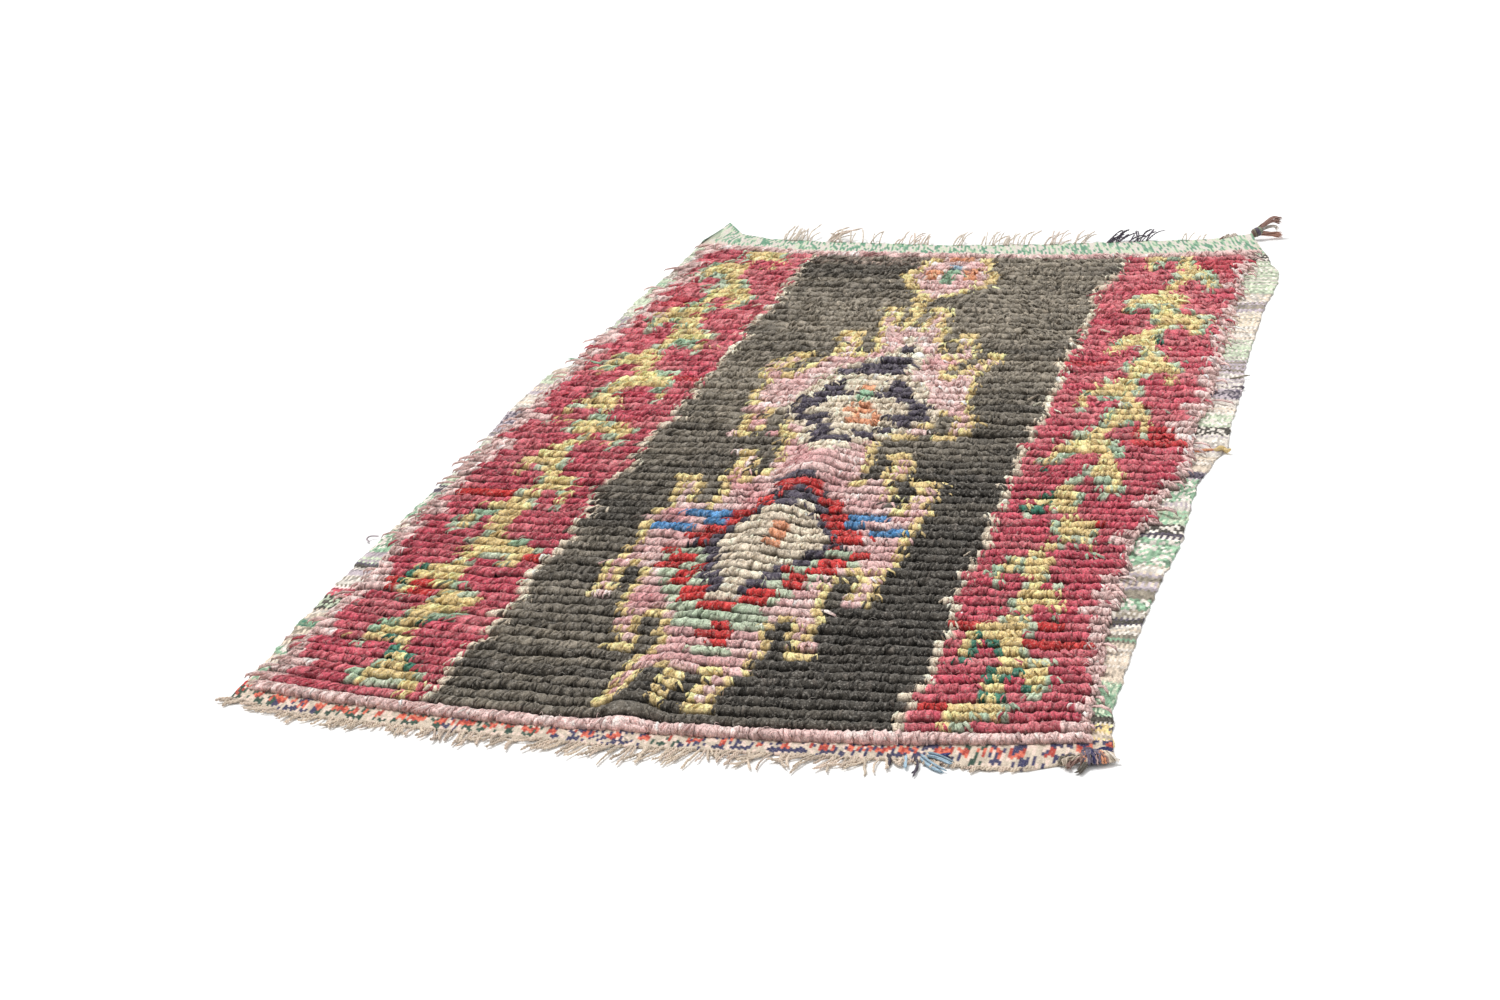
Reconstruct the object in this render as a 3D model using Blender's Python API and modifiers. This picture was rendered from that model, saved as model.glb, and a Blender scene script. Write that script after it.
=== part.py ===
"""Boucherouite rug, lying flat: a knotted rag pile with flat-woven margins, fringes and yarn ends.

X runs across the rug, Y from the near end to the far end and Z up, in metres. The origin is on the
floor under the middle of the rug with its fringes.
"""

import math
import random

import bmesh
import bpy
from mathutils import Vector, noise

# Driving sizes; the edges below are the real cloth's, about its middle
OVERALL_LENGTH = 2.444
WEAVE_THICKNESS = 0.0035
PILE_THICKNESS = 0.0155
PILE_UNEVENNESS = 0.0018
PILE_PATCH = 0.16
GAP = 0.0003

# Outer edges of the cloth: along the sides an x for each y, at the ends a y for each x
LEFT_EDGE = (
    # y, x
    (-1.104, -0.550),
    (-1.000, -0.553),
    (-0.872, -0.565),
    (-0.617, -0.578),
    (-0.235, -0.580),
    (-0.107, -0.590),
    (0.019, -0.602),
    (0.236, -0.602),
    (0.287, -0.567),
    (0.335, -0.572),
    (0.401, -0.590),
    (0.529, -0.584),
    (0.657, -0.592),
    (0.911, -0.584),
    (1.128, -0.590),
    (1.217, -0.555),
)
RIGHT_EDGE = (
    # y, x
    (-1.111, 0.550),
    (-1.000, 0.534),
    (-0.745, 0.540),
    (-0.617, 0.547),
    (-0.490, 0.559),
    (-0.235, 0.559),
    (-0.133, 0.577),
    (-0.070, 0.590),
    (0.019, 0.584),
    (0.211, 0.590),
    (0.300, 0.584),
    (0.657, 0.590),
    (0.783, 0.599),
    (0.840, 0.602),
    (0.900, 0.602),
    (0.962, 0.584),
    (1.039, 0.567),
    (1.150, 0.534),
)
NEAR_EDGE = (
    # x, y
    (-0.550, -1.104),
    (-0.453, -1.135),
    (-0.334, -1.148),
    (-0.038, -1.168),
    (0.259, -1.162),
    (0.500, -1.137),
    (0.550, -1.111),
)
FAR_EDGE = (
    # x, y
    (-0.555, 1.217),
    (-0.515, 1.168),
    (-0.429, 1.143),
    (-0.245, 1.118),
    (-0.061, 1.099),
    (0.123, 1.105),
    (0.308, 1.131),
    (0.450, 1.146),
    (0.534, 1.150),
)

# Edges of the knotted pile within the cloth
PILE_SIDES = (
    # y, left x, right x
    (-1.110, -0.516, 0.514),
    (-0.890, -0.521, 0.506),
    (-0.640, -0.537, 0.500),
    (-0.386, -0.548, 0.509),
    (-0.133, -0.555, 0.537),
    (0.120, -0.560, 0.543),
    (0.287, -0.555, 0.541),
    (0.372, -0.555, 0.539),
    (0.626, -0.549, 0.537),
    (0.878, -0.545, 0.543),
    (1.100, -0.548, 0.528),
)
PILE_ENDS = (
    # x, near y, far y
    (-0.550, -1.076, 1.092),
    (-0.516, -1.079, 1.085),
    (-0.420, -1.102, 1.065),
    (-0.298, -1.119, 1.033),
    (-0.176, -1.131, 1.020),
    (-0.054, -1.138, 1.014),
    (0.190, -1.136, 1.007),
    (0.312, -1.128, 1.014),
    (0.434, -1.111, 1.026),
    (0.550, -1.090, 1.047),
)

# The soft fold that lifts the cloth along the middle, highest behind the near end and at mid-length
FOLD_HALF_WIDTH = 0.060
FOLD = (
    # y, x, rise
    (-1.144, -0.026, 0.000),
    (-1.085, -0.028, 0.014),
    (-1.010, -0.024, 0.009),
    (-0.900, -0.020, 0.002),
    (-0.780, -0.020, 0.003),
    (-0.600, -0.018, 0.008),
    (-0.430, -0.012, 0.012),
    (-0.250, -0.006, 0.014),
    (-0.100, -0.010, 0.009),
    (0.060, -0.020, 0.003),
    (0.220, -0.030, 0.000),
)

# Corners of the cloth that curl up off the floor
CURLED_CORNERS = (
    # x, y, reach, rise
    (-0.555, 1.217, 0.150, 0.018),
    (0.534, 1.150, 0.110, 0.012),
)

# Fringe of cut warp ends along the near end, and the shorter tufts behind the far end
NEAR_FRINGE = (
    # x, length
    (-0.545, 0.024),
    (-0.450, 0.026),
    (-0.300, 0.044),
    (-0.022, 0.054),
    (0.271, 0.053),
    (0.400, 0.045),
    (0.478, 0.034),
)
FAR_FRINGE = (
    # x, length
    (-0.500, 0.020),
    (-0.405, 0.060),
    (-0.370, 0.075),
    (-0.300, 0.068),
    (-0.180, 0.040),
    (-0.020, 0.058),
    (0.100, 0.050),
    (0.240, 0.052),
    (0.330, 0.045),
    (0.480, 0.016),
)
NEAR_TEETH = 58
FAR_TEETH = 46
FRINGE_THICKNESS = 0.0030
FRINGE_SPINE = 0.0040
TOOTH_FILL = 0.62
TIP_FILL = 0.30
TOOTH_LENGTHS = (0.60, 0.96)
TOOTH_LEAN = 0.25
TOOTH_BEND = 0.35
TOOTH_TAPER = 0.4
NEAR_SLANT = -0.30
FAR_SLANT = 0.25
FAR_FRINGE_RISE = 0.22
FRINGE_SEED = 4

# Tassel of twisted weft ends at the far right corner
TASSEL_KNOT = (0.5426, 1.1547, 0.0156)
TASSEL_KNOT_RADII = (0.0105, 0.0090, 0.0085)
TASSEL_STRANDS = (
    # name, root radius, tip radius, points along the strand from the knot's middle
    (
        "upper",
        0.0060,
        0.0040,
        ((0.000, 0.001, 0.001), (0.014, 0.011, 0.013), (0.032, 0.019, 0.022), (0.050, 0.025, 0.020)),
    ),
    (
        "lower",
        0.0062,
        0.0048,
        ((0.000, 0.000, -0.001), (0.016, 0.006, -0.004), (0.034, 0.010, -0.007), (0.052, 0.012, -0.008)),
    ),
)

# Knotted bundle of weft ends at the near right corner, resting on the floor
BUNDLE_MIDDLE = (0.5220, -1.1398)
BUNDLE_HALF_LENGTH = 0.0340
BUNDLE_HALF_DEPTH = 0.0120
BUNDLE_HEIGHT = 0.0170
BUNDLE_SINK = 0.35
BUNDLE_TURN = math.radians(21)
BUNDLE_LUMPS = 0.0022
BUNDLE_LUMP_SCALE = 2.3

# Faceting
COLUMNS_BESIDE_FOLD = 4
FOLD_STATIONS = (-1.0, -0.6, -0.27, 0.0, 0.27, 0.6, 1.0)
ROWS_OF_PILE = 40
STEP_WIDTH = 0.010
FAR_BAND_LINE = 0.55
WELD_DISTANCE = 0.00001

# Colours
CRIMSON = (0.42, 0.055, 0.095)
BEIGE = (0.55, 0.45, 0.33)
MINT = (0.42, 0.58, 0.44)
BROWN = (0.22, 0.13, 0.12)
PLUM = (0.13, 0.07, 0.13)


def read(table, key, column=1):
    """Value in a column of a table at a key, along straight lines between the rows."""
    if key <= table[0][0]:
        return table[0][column]
    for before, after in zip(table, table[1:]):
        if key <= after[0]:
            share = (key - before[0]) / (after[0] - before[0])
            return before[column] + share * (after[column] - before[column])
    return table[-1][column]


def mix(start, end, share):
    """Point or number a share of the way from start to end."""
    return start + (end - start) * share


def step_foot(pile, edge):
    """Where the pile's steep side ends on the flat weave between the pile and the cloth's edge."""
    return pile + math.copysign(min(STEP_WIDTH, abs(edge - pile) / 2.0), edge - pile)


def lift(x, y):
    """Height of the cloth's underside above the floor."""
    across = abs(x - read(FOLD, y, 1)) / FOLD_HALF_WIDTH
    height = read(FOLD, y, 2) * (0.5 + 0.5 * math.cos(math.pi * min(across, 1.0)))
    for corner_x, corner_y, reach, rise in CURLED_CORNERS:
        away = math.hypot(x - corner_x, y - corner_y) / reach
        height += rise * (1.0 - min(away, 1.0)) ** 2
    return height


def pile_share(x, y):
    """Share of the full pile thickness, which comes and goes in broad soft patches."""
    patch = noise.noise(Vector((x / PILE_PATCH, y / PILE_PATCH, 0.0)))
    return 1.0 + PILE_UNEVENNESS / PILE_THICKNESS * patch


def row_lines():
    """Cross lines of the cloth: the y of each as a function of x, and whether it carries pile."""
    lines = [
        (lambda x: read(NEAR_EDGE, x), False),
        (lambda x: step_foot(read(PILE_ENDS, x), read(NEAR_EDGE, x)), False),
    ]
    for row in range(ROWS_OF_PILE + 1):
        share = row / ROWS_OF_PILE
        lines.append((lambda x, s=share: mix(read(PILE_ENDS, x), read(PILE_ENDS, x, 2), s), True))
    lines += [
        (lambda x: step_foot(read(PILE_ENDS, x, 2), read(FAR_EDGE, x)), False),
        (lambda x: mix(read(PILE_ENDS, x, 2), read(FAR_EDGE, x), FAR_BAND_LINE), False),
        (lambda x: read(FAR_EDGE, x), False),
    ]
    return lines


def stations(y):
    """The x of each lengthwise line of the cloth at y, and whether it carries pile."""
    left = read(LEFT_EDGE, y)
    right = read(RIGHT_EDGE, y)
    pile_left = read(PILE_SIDES, y, 1)
    pile_right = read(PILE_SIDES, y, 2)
    fold = [read(FOLD, y, 1) + FOLD_HALF_WIDTH * share for share in FOLD_STATIONS]
    shares = [column / COLUMNS_BESIDE_FOLD for column in range(COLUMNS_BESIDE_FOLD)]
    pile = [mix(pile_left, fold[0], share) for share in shares] + fold
    pile += [mix(pile_right, fold[-1], share) for share in reversed(shares)]
    return (
        [(left, False), (step_foot(pile_left, left), False)]
        + [(x, True) for x in pile]
        + [(step_foot(pile_right, right), False), (right, False)]
    )


def place_on_line(column, line_y):
    """Point where a lengthwise line crosses a cross line, found by going back and forth."""
    y = line_y(0.0)
    x = 0.0
    for _ in range(6):
        x = stations(y)[column][0]
        y = line_y(x)
    return x, y


def material(name, colour):
    """Rough yarn material."""
    made = bpy.data.materials.new(name)
    made.use_nodes = True
    shader = made.node_tree.nodes["Principled BSDF"]
    shader.inputs["Base Color"].default_value = (*colour, 1.0)
    shader.inputs["Roughness"].default_value = 0.95
    shader.inputs["Metallic"].default_value = 0.0
    return made


def add_object(name, mesh, colour, collection, root):
    """Named object with its own material, under the rug's empty."""
    mesh.name = name
    mesh.materials.append(material(name + "_yarn", colour))
    made = bpy.data.objects.new(name, mesh)
    made.parent = root
    collection.objects.link(made)
    return made


def make_cloth(collection, root):
    """The rug as one piece: a grid laid on its outline and fold, thickened where the pile stands."""
    lines = row_lines()
    columns = len(stations(0.0))
    grid = bmesh.new()
    bmesh.ops.create_grid(grid, x_segments=columns - 1, y_segments=len(lines) - 1, size=1.0)
    shares = []
    for vertex in grid.verts:
        column = round((vertex.co.x + 1.0) / 2.0 * (columns - 1))
        line_y, row_piled = lines[round((vertex.co.y + 1.0) / 2.0 * (len(lines) - 1))]
        x, y = place_on_line(column, line_y)
        piled = row_piled and stations(y)[column][1]
        vertex.co = (x, y, lift(x, y))
        shares.append(pile_share(x, y) if piled else WEAVE_THICKNESS / PILE_THICKNESS)
    mesh = bpy.data.meshes.new("rug_cloth")
    grid.to_mesh(mesh)
    grid.free()
    cloth = add_object("rug_cloth", mesh, CRIMSON, collection, root)
    thickest = max(shares)
    group = cloth.vertex_groups.new(name="thickness")
    for index, share in enumerate(shares):
        group.add([index], share / thickest, "REPLACE")
    solidify = cloth.modifiers.new("pile and weave", "SOLIDIFY")
    solidify.thickness = PILE_THICKNESS * thickest
    solidify.offset = 1.0
    solidify.vertex_group = group.name
    solidify.use_even_offset = False
    mesh.shade_smooth()
    return cloth


def cloth_edge(line_y):
    """Points of the cloth's edge along one cross line, from left to right."""
    return [place_on_line(column, line_y) for column in range(len(stations(0.0)))]


def comb_outline(edge, lengths, teeth, outward, slant, reach):
    """Closed outline of a fringe comb: a narrow spine along the edge and a bent tooth for each bunch."""
    chance = random.Random(FRINGE_SEED + teeth)
    first = lengths[0][0]
    last = lengths[-1][0]
    pitch = (last - first) / teeth
    middles = [first + pitch * (tooth + 0.5) for tooth in range(teeth)]
    farthest = [outward * read(edge, x) + read(lengths, x) for x in middles]
    longest = farthest.index(max(farthest))
    outline = []
    for tooth, x in enumerate(middles):
        spine_y = read(edge, x) + outward * (GAP + FRINGE_SPINE)
        length = read(lengths, x) * chance.uniform(*TOOTH_LENGTHS)
        lean = slant + chance.uniform(-TOOTH_LEAN, TOOTH_LEAN)
        tip_y = spine_y + outward * length
        if tooth == longest:
            tip_y = outward * reach
            lean = slant
        length = abs(tip_y - spine_y)
        half = pitch * TOOTH_FILL / 2.0
        tip_half = pitch * TIP_FILL / 2.0
        middle_half = mix(half, tip_half, TOOTH_TAPER)
        middle = (x + lean * length * TOOTH_BEND, mix(spine_y, tip_y, 0.5))
        tip = (x + lean * length, tip_y)
        outline += [
            (x - half, spine_y),
            (middle[0] - middle_half, middle[1]),
            (tip[0] - tip_half, tip[1]),
            (tip[0] + tip_half, tip[1]),
            (middle[0] + middle_half, middle[1]),
            (x + half, spine_y),
        ]
    back = [last] + [x for x, _ in reversed(edge) if first < x < last] + [first]
    outline += [(x, read(edge, x) + outward * GAP) for x in back]
    return outline


def make_fringe(name, outline, edge, colour, rise, collection, root):
    """Comb cut from a flat outline, whose teeth may rise off the floor towards their tips."""
    curve = bpy.data.curves.new(name, "CURVE")
    curve.dimensions = "2D"
    curve.fill_mode = "BOTH"
    curve.extrude = FRINGE_THICKNESS / 2.0
    spline = curve.splines.new("POLY")
    spline.points.add(len(outline) - 1)
    spline.use_cyclic_u = True
    for point, (x, y) in zip(spline.points, outline):
        point.co = (x, y, 0.0, 1.0)
    drawn = bpy.data.objects.new(name + "_outline", curve)
    collection.objects.link(drawn)
    mesh = bpy.data.meshes.new_from_object(drawn.evaluated_get(bpy.context.evaluated_depsgraph_get()))
    bpy.data.objects.remove(drawn)
    shape = bmesh.new()
    shape.from_mesh(mesh)
    bmesh.ops.remove_doubles(shape, verts=shape.verts, dist=WELD_DISTANCE)
    for vertex in shape.verts:
        x, y = vertex.co.x, vertex.co.y
        beyond = max(0.0, abs(y - read(edge, x)) - FRINGE_SPINE - GAP)
        vertex.co.z += FRINGE_THICKNESS / 2.0 + lift(x, y) + rise * beyond
    bmesh.ops.recalc_face_normals(shape, faces=shape.faces)
    shape.to_mesh(mesh)
    shape.free()
    return add_object(name, mesh, colour, collection, root)


def strand_mesh(points, root_radius, tip_radius):
    """Tapered round strand through the points, as a closed mesh."""
    curve = bpy.data.curves.new("strand", "CURVE")
    curve.dimensions = "3D"
    curve.bevel_depth = 1.0
    curve.bevel_resolution = 1
    curve.resolution_u = 2
    curve.use_fill_caps = True
    spline = curve.splines.new("NURBS")
    spline.points.add(len(points) - 1)
    spline.use_endpoint_u = True
    spline.order_u = 3
    for index, (point, place) in enumerate(zip(spline.points, points)):
        point.co = (*(Vector(TASSEL_KNOT) + Vector(place)), 1.0)
        point.radius = mix(root_radius, tip_radius, index / (len(points) - 1))
    drawn = bpy.data.objects.new("strand", curve)
    bpy.context.scene.collection.objects.link(drawn)
    mesh = bpy.data.meshes.new_from_object(drawn.evaluated_get(bpy.context.evaluated_depsgraph_get()))
    bpy.data.objects.remove(drawn)
    shape = bmesh.new()
    shape.from_mesh(mesh)
    bmesh.ops.remove_doubles(shape, verts=shape.verts, dist=WELD_DISTANCE)
    bmesh.ops.recalc_face_normals(shape, faces=shape.faces)
    shape.to_mesh(mesh)
    shape.free()
    return mesh


def make_tassel(collection, cutters, root):
    """Tassel: a small knot at the corner with two strands joined to it."""
    ball = bmesh.new()
    bmesh.ops.create_uvsphere(ball, u_segments=12, v_segments=8, radius=1.0)
    bmesh.ops.scale(ball, vec=TASSEL_KNOT_RADII, verts=ball.verts)
    bmesh.ops.translate(ball, vec=TASSEL_KNOT, verts=ball.verts)
    mesh = bpy.data.meshes.new("corner_tassel")
    ball.to_mesh(mesh)
    ball.free()
    tassel = add_object("corner_tassel", mesh, BROWN, collection, root)
    for name, root_radius, tip_radius, points in TASSEL_STRANDS:
        strand = bpy.data.objects.new(name + "_strand", strand_mesh(points, root_radius, tip_radius))
        strand.display_type = "WIRE"
        strand.hide_render = True
        cutters.objects.link(strand)
        union = tassel.modifiers.new(name, "BOOLEAN")
        union.operation = "UNION"
        union.object = strand
    return tassel


def make_bundle(collection, root):
    """Knotted bundle: a lumpy ball, drawn out along the corner and flat where it lies on the floor."""
    ball = bmesh.new()
    bmesh.ops.create_uvsphere(ball, u_segments=18, v_segments=10, radius=1.0)
    height = BUNDLE_HEIGHT / (2.0 - BUNDLE_SINK)
    for vertex in ball.verts:
        lump = noise.noise(Vector(vertex.co) * BUNDLE_LUMP_SCALE)
        vertex.co.x *= BUNDLE_HALF_LENGTH + BUNDLE_LUMPS * lump
        vertex.co.y *= BUNDLE_HALF_DEPTH + BUNDLE_LUMPS * lump
        vertex.co.z = max(0.0, (vertex.co.z + 1.0 - BUNDLE_SINK) * height)
    mesh = bpy.data.meshes.new("corner_bundle")
    ball.to_mesh(mesh)
    ball.free()
    bundle = add_object("corner_bundle", mesh, PLUM, collection, root)
    bundle.location = (*BUNDLE_MIDDLE, 0.0)
    bundle.rotation_euler = (0.0, 0.0, BUNDLE_TURN)
    mesh.shade_smooth()
    return bundle


def clear_scene():
    """Removes whatever the scene holds."""
    for old in list(bpy.data.objects):
        bpy.data.objects.remove(old)


def new_collection(name):
    """Collection linked to the scene."""
    made = bpy.data.collections.new(name)
    bpy.context.scene.collection.children.link(made)
    return made


def main():
    clear_scene()
    rug = new_collection("boucherouite_rug")
    cutters = new_collection("joined_shapes")
    root = bpy.data.objects.new("rug_root", None)
    rug.objects.link(root)
    make_cloth(rug, root)
    near_edge = cloth_edge(row_lines()[0][0])
    near = comb_outline(near_edge, NEAR_FRINGE, NEAR_TEETH, -1.0, NEAR_SLANT, OVERALL_LENGTH / 2.0)
    make_fringe("near_fringe", near, near_edge, BEIGE, 0.0, rug, root)
    far_edge = cloth_edge(row_lines()[-1][0])
    far = comb_outline(far_edge, FAR_FRINGE, FAR_TEETH, 1.0, FAR_SLANT, OVERALL_LENGTH / 2.0)
    make_fringe("far_fringe", far, far_edge, MINT, FAR_FRINGE_RISE, rug, root)
    make_tassel(rug, cutters, root)
    make_bundle(rug, root)


main()
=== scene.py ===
"""Looks of a knotted rag rug that lies flat, laid out as a Blender add-on and run as a script."""

import math

import bpy
import numpy as np
from mathutils import Matrix, Vector


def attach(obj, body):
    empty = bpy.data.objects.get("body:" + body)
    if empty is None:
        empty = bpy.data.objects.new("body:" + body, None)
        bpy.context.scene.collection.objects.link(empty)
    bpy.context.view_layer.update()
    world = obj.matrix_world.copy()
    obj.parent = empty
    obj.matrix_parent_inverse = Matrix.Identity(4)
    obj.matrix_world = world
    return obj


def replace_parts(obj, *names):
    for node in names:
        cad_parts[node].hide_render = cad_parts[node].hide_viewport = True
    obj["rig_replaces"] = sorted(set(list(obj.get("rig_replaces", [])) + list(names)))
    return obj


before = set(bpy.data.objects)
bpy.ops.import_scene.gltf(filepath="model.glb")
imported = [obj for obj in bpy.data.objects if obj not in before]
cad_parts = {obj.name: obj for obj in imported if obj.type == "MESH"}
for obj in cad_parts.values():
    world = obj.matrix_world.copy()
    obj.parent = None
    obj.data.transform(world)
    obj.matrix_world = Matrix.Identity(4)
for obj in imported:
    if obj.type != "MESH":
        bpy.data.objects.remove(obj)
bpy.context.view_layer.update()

bl_info = {
    "name": "Knotted rag rug",
    "version": (1, 0, 0),
    "blender": (4, 5, 0),
    "location": "3D View > Sidebar > Rug",
    "description": "Weaves, knots and fringes a rag rug on its packed model",
    "category": "Add Mesh",
}

# Outline of the cloth, in metres: a side's table gives x at each y, an end's table y at each x
LEFT_EDGE = (
    (-1.104, -0.550), (-1.000, -0.553), (-0.872, -0.565), (-0.617, -0.578), (-0.235, -0.580),
    (-0.107, -0.590), (0.019, -0.602), (0.236, -0.602), (0.287, -0.567), (0.335, -0.572),
    (0.401, -0.590), (0.529, -0.584), (0.657, -0.592), (0.911, -0.584), (1.128, -0.590),
    (1.217, -0.555),
)
RIGHT_EDGE = (
    (-1.111, 0.550), (-1.000, 0.534), (-0.745, 0.540), (-0.617, 0.547), (-0.490, 0.559),
    (-0.235, 0.559), (-0.133, 0.577), (-0.070, 0.590), (0.019, 0.584), (0.211, 0.590),
    (0.300, 0.584), (0.657, 0.590), (0.783, 0.599), (0.840, 0.602), (0.900, 0.602),
    (0.962, 0.584), (1.039, 0.567), (1.150, 0.534),
)
NEAR_EDGE = (
    (-0.550, -1.104), (-0.453, -1.135), (-0.334, -1.148), (-0.038, -1.168), (0.259, -1.162),
    (0.500, -1.137), (0.550, -1.111),
)
# Outer edge of the near band, which hangs lower beside the right corner than the ground weave
NEAR_BAND_EDGE = (
    *NEAR_EDGE[:5], (0.350, -1.158), (0.395, -1.168), (0.460, -1.166), (0.490, -1.150),
    (0.550, -1.111),
)
FAR_EDGE = (
    (-0.555, 1.217), (-0.515, 1.168), (-0.429, 1.143), (-0.245, 1.118), (-0.061, 1.099),
    (0.123, 1.105), (0.308, 1.131), (0.450, 1.146), (0.534, 1.150),
)

# Sides of the pile: y, left x, right x. Ends of the pile: x, near y, far y
PILE_SIDES = (
    (-1.110, -0.516, 0.514), (-0.890, -0.521, 0.506), (-0.640, -0.537, 0.490),
    (-0.386, -0.548, 0.509), (-0.133, -0.555, 0.537), (0.120, -0.560, 0.543),
    (0.287, -0.555, 0.541), (0.372, -0.555, 0.539), (0.626, -0.549, 0.537),
    (0.878, -0.545, 0.543), (1.100, -0.548, 0.528),
)
PILE_ENDS = (
    (-0.550, -1.076, 1.092), (-0.516, -1.079, 1.085), (-0.420, -1.102, 1.065),
    (-0.298, -1.119, 1.033), (-0.176, -1.131, 1.020), (-0.054, -1.138, 1.014),
    (0.190, -1.136, 1.007), (0.312, -1.128, 1.014), (0.434, -1.111, 1.026),
    (0.550, -1.090, 1.047),
)

# Lengthwise fold: y, x, rise. Curled corners: x, y, reach, rise
FOLD_HALF_WIDTH = 0.060
FOLD = (
    (-1.144, -0.026, 0.0), (-1.085, -0.028, 0.014), (-1.010, -0.024, 0.009),
    (-0.900, -0.020, 0.002), (-0.780, -0.020, 0.003), (-0.600, -0.018, 0.008),
    (-0.430, -0.012, 0.012), (-0.250, -0.006, 0.014), (-0.100, -0.010, 0.009),
    (0.060, -0.020, 0.003), (0.220, -0.030, 0.0),
)
CURLED_CORNERS = ((-0.555, 1.217, 0.150, 0.018), (0.534, 1.150, 0.110, 0.012))

# How far the pile parts and fans out beside the fold: y, strength
FANNING = (
    (-1.150, 0.5), (-1.085, 0.95), (-1.020, 0.35), (-0.900, 0.05), (-0.640, 0.10),
    (-0.480, 0.45), (-0.360, 0.80), (-0.220, 1.00), (-0.090, 0.55), (0.060, 0.15), (0.220, 0.0),
)

# Hollow where the pile parts to the right of the figures: x, y, reach
HOLLOW = (0.215, -0.108, 0.024)

# Columns of the pile: y, x of the left cream line, middle of the figures, x of the right cream line
COLUMN_LINES = (
    (-1.120, -0.280, 0.010, 0.307), (-0.700, -0.292, 0.004, 0.300), (-0.300, -0.298, 0.002, 0.293),
    (0.200, -0.300, -0.003, 0.290), (0.700, -0.304, -0.008, 0.297), (1.050, -0.305, -0.010, 0.299),
)

# Fringes: x, length
NEAR_FRINGE = (
    (-0.545, 0.034), (-0.450, 0.022), (-0.300, 0.028), (-0.150, 0.036), (-0.022, 0.045),
    (0.240, 0.044), (0.290, 0.032), (0.318, 0.012), (0.478, 0.011),
)
FAR_FRINGE = (
    (-0.500, 0.020), (-0.405, 0.060), (-0.370, 0.075), (-0.300, 0.068), (-0.180, 0.040),
    (-0.020, 0.058), (0.100, 0.050), (0.240, 0.052), (0.330, 0.045), (0.480, 0.016),
)

# Tufts of the far fringe: x, half width, cords, dye
FAR_TUFTS = (
    (-0.390, 0.030, 16, "beige"), (-0.315, 0.012, 8, "orange"), (-0.245, 0.050, 10, "beige"),
    (-0.140, 0.045, 16, "orange"), (-0.040, 0.025, 6, "beige"), (0.050, 0.050, 18, "beige"),
    (0.165, 0.050, 16, "pink"), (0.290, 0.040, 20, "plum"), (0.415, 0.030, 5, "beige"),
    (0.490, 0.014, 7, "bark"),
)

# Corner tassel at the far right: its knot, the way it points, and its strands, each with its dye,
# yarns, and in millimetres the radius of a yarn, the radius of the strand and points from the knot
TASSEL_KNOT = (0.5426, 1.1547, 0.0156)
TASSEL_WAY = (0.80, 0.50, 0.33)
TASSEL_STRANDS = (
    ("bark", 24, 1.0, 5.6, ((0, 1, 1), (14, 11, 13), (32, 19, 21.5), (50, 25, 19.5))),
    ("orange", 22, 1.0, 5.2, ((0, 0, -1), (16, 6, -4), (34, 10, -7), (51, 12, -8))),
    ("bone", 9, 0.8, 4.2, ((0, 0, 3), (20, 10, 7), (36, 14, 8), (43, 10, 2))),
)
TASSEL_WRAPS = (("stone", 0.70, 3), ("plum", 1.2, 3), ("mint", 0.45, 3))

# Corner bundle at the near right: its middle and turn. Its coils, one after the other along it:
# dye, shade, and in millimetres radius, slant, half depth and height. Its cross coils: dye, shade,
# and in millimetres start, end, depth and height
BUNDLE_MIDDLE = (0.5220, -1.1398)
BUNDLE_TURN = math.radians(21)
BUNDLE_START = -0.003
BUNDLE_STEP = 0.002
BUNDLE_COILS = (
    ("bark", 1.10, 1.4, 4, 9.0, 11.0), ("plum", 1.50, 1.5, 4, 10.0, 12.5),
    ("orange", 0.90, 1.3, 3, 10.5, 13.0), ("plum", 1.40, 1.6, 2, 11.0, 13.8),
    ("beige", 0.85, 1.3, 1, 11.0, 13.0), ("plum", 1.60, 1.6, 1, 11.2, 14.0),
    ("navy", 0.75, 1.6, 0, 11.2, 14.0), ("pink", 0.80, 1.4, -1, 11.2, 12.8),
    ("plum", 1.50, 1.6, -2, 11.2, 13.6), ("orange", 0.95, 1.4, -3, 11.0, 12.6),
    ("bark", 1.20, 1.4, -3, 11.0, 12.4), ("orange", 0.85, 1.3, -4, 10.6, 12.0),
    ("beige", 1.00, 1.5, -4, 10.4, 12.0), ("cream", 0.90, 1.3, -5, 10.0, 11.5),
    ("beige", 0.80, 1.4, -5, 9.6, 11.0), ("bone", 1.00, 1.3, -5, 9.0, 10.5),
    ("beige", 0.95, 1.4, -5, 8.4, 9.5),
)
CROSS_COILS = (("navy", 0.80, 14, 34, 8.0, 12.5), ("plum", 1.35, -2, 14, 8.5, 14.0))

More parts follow.
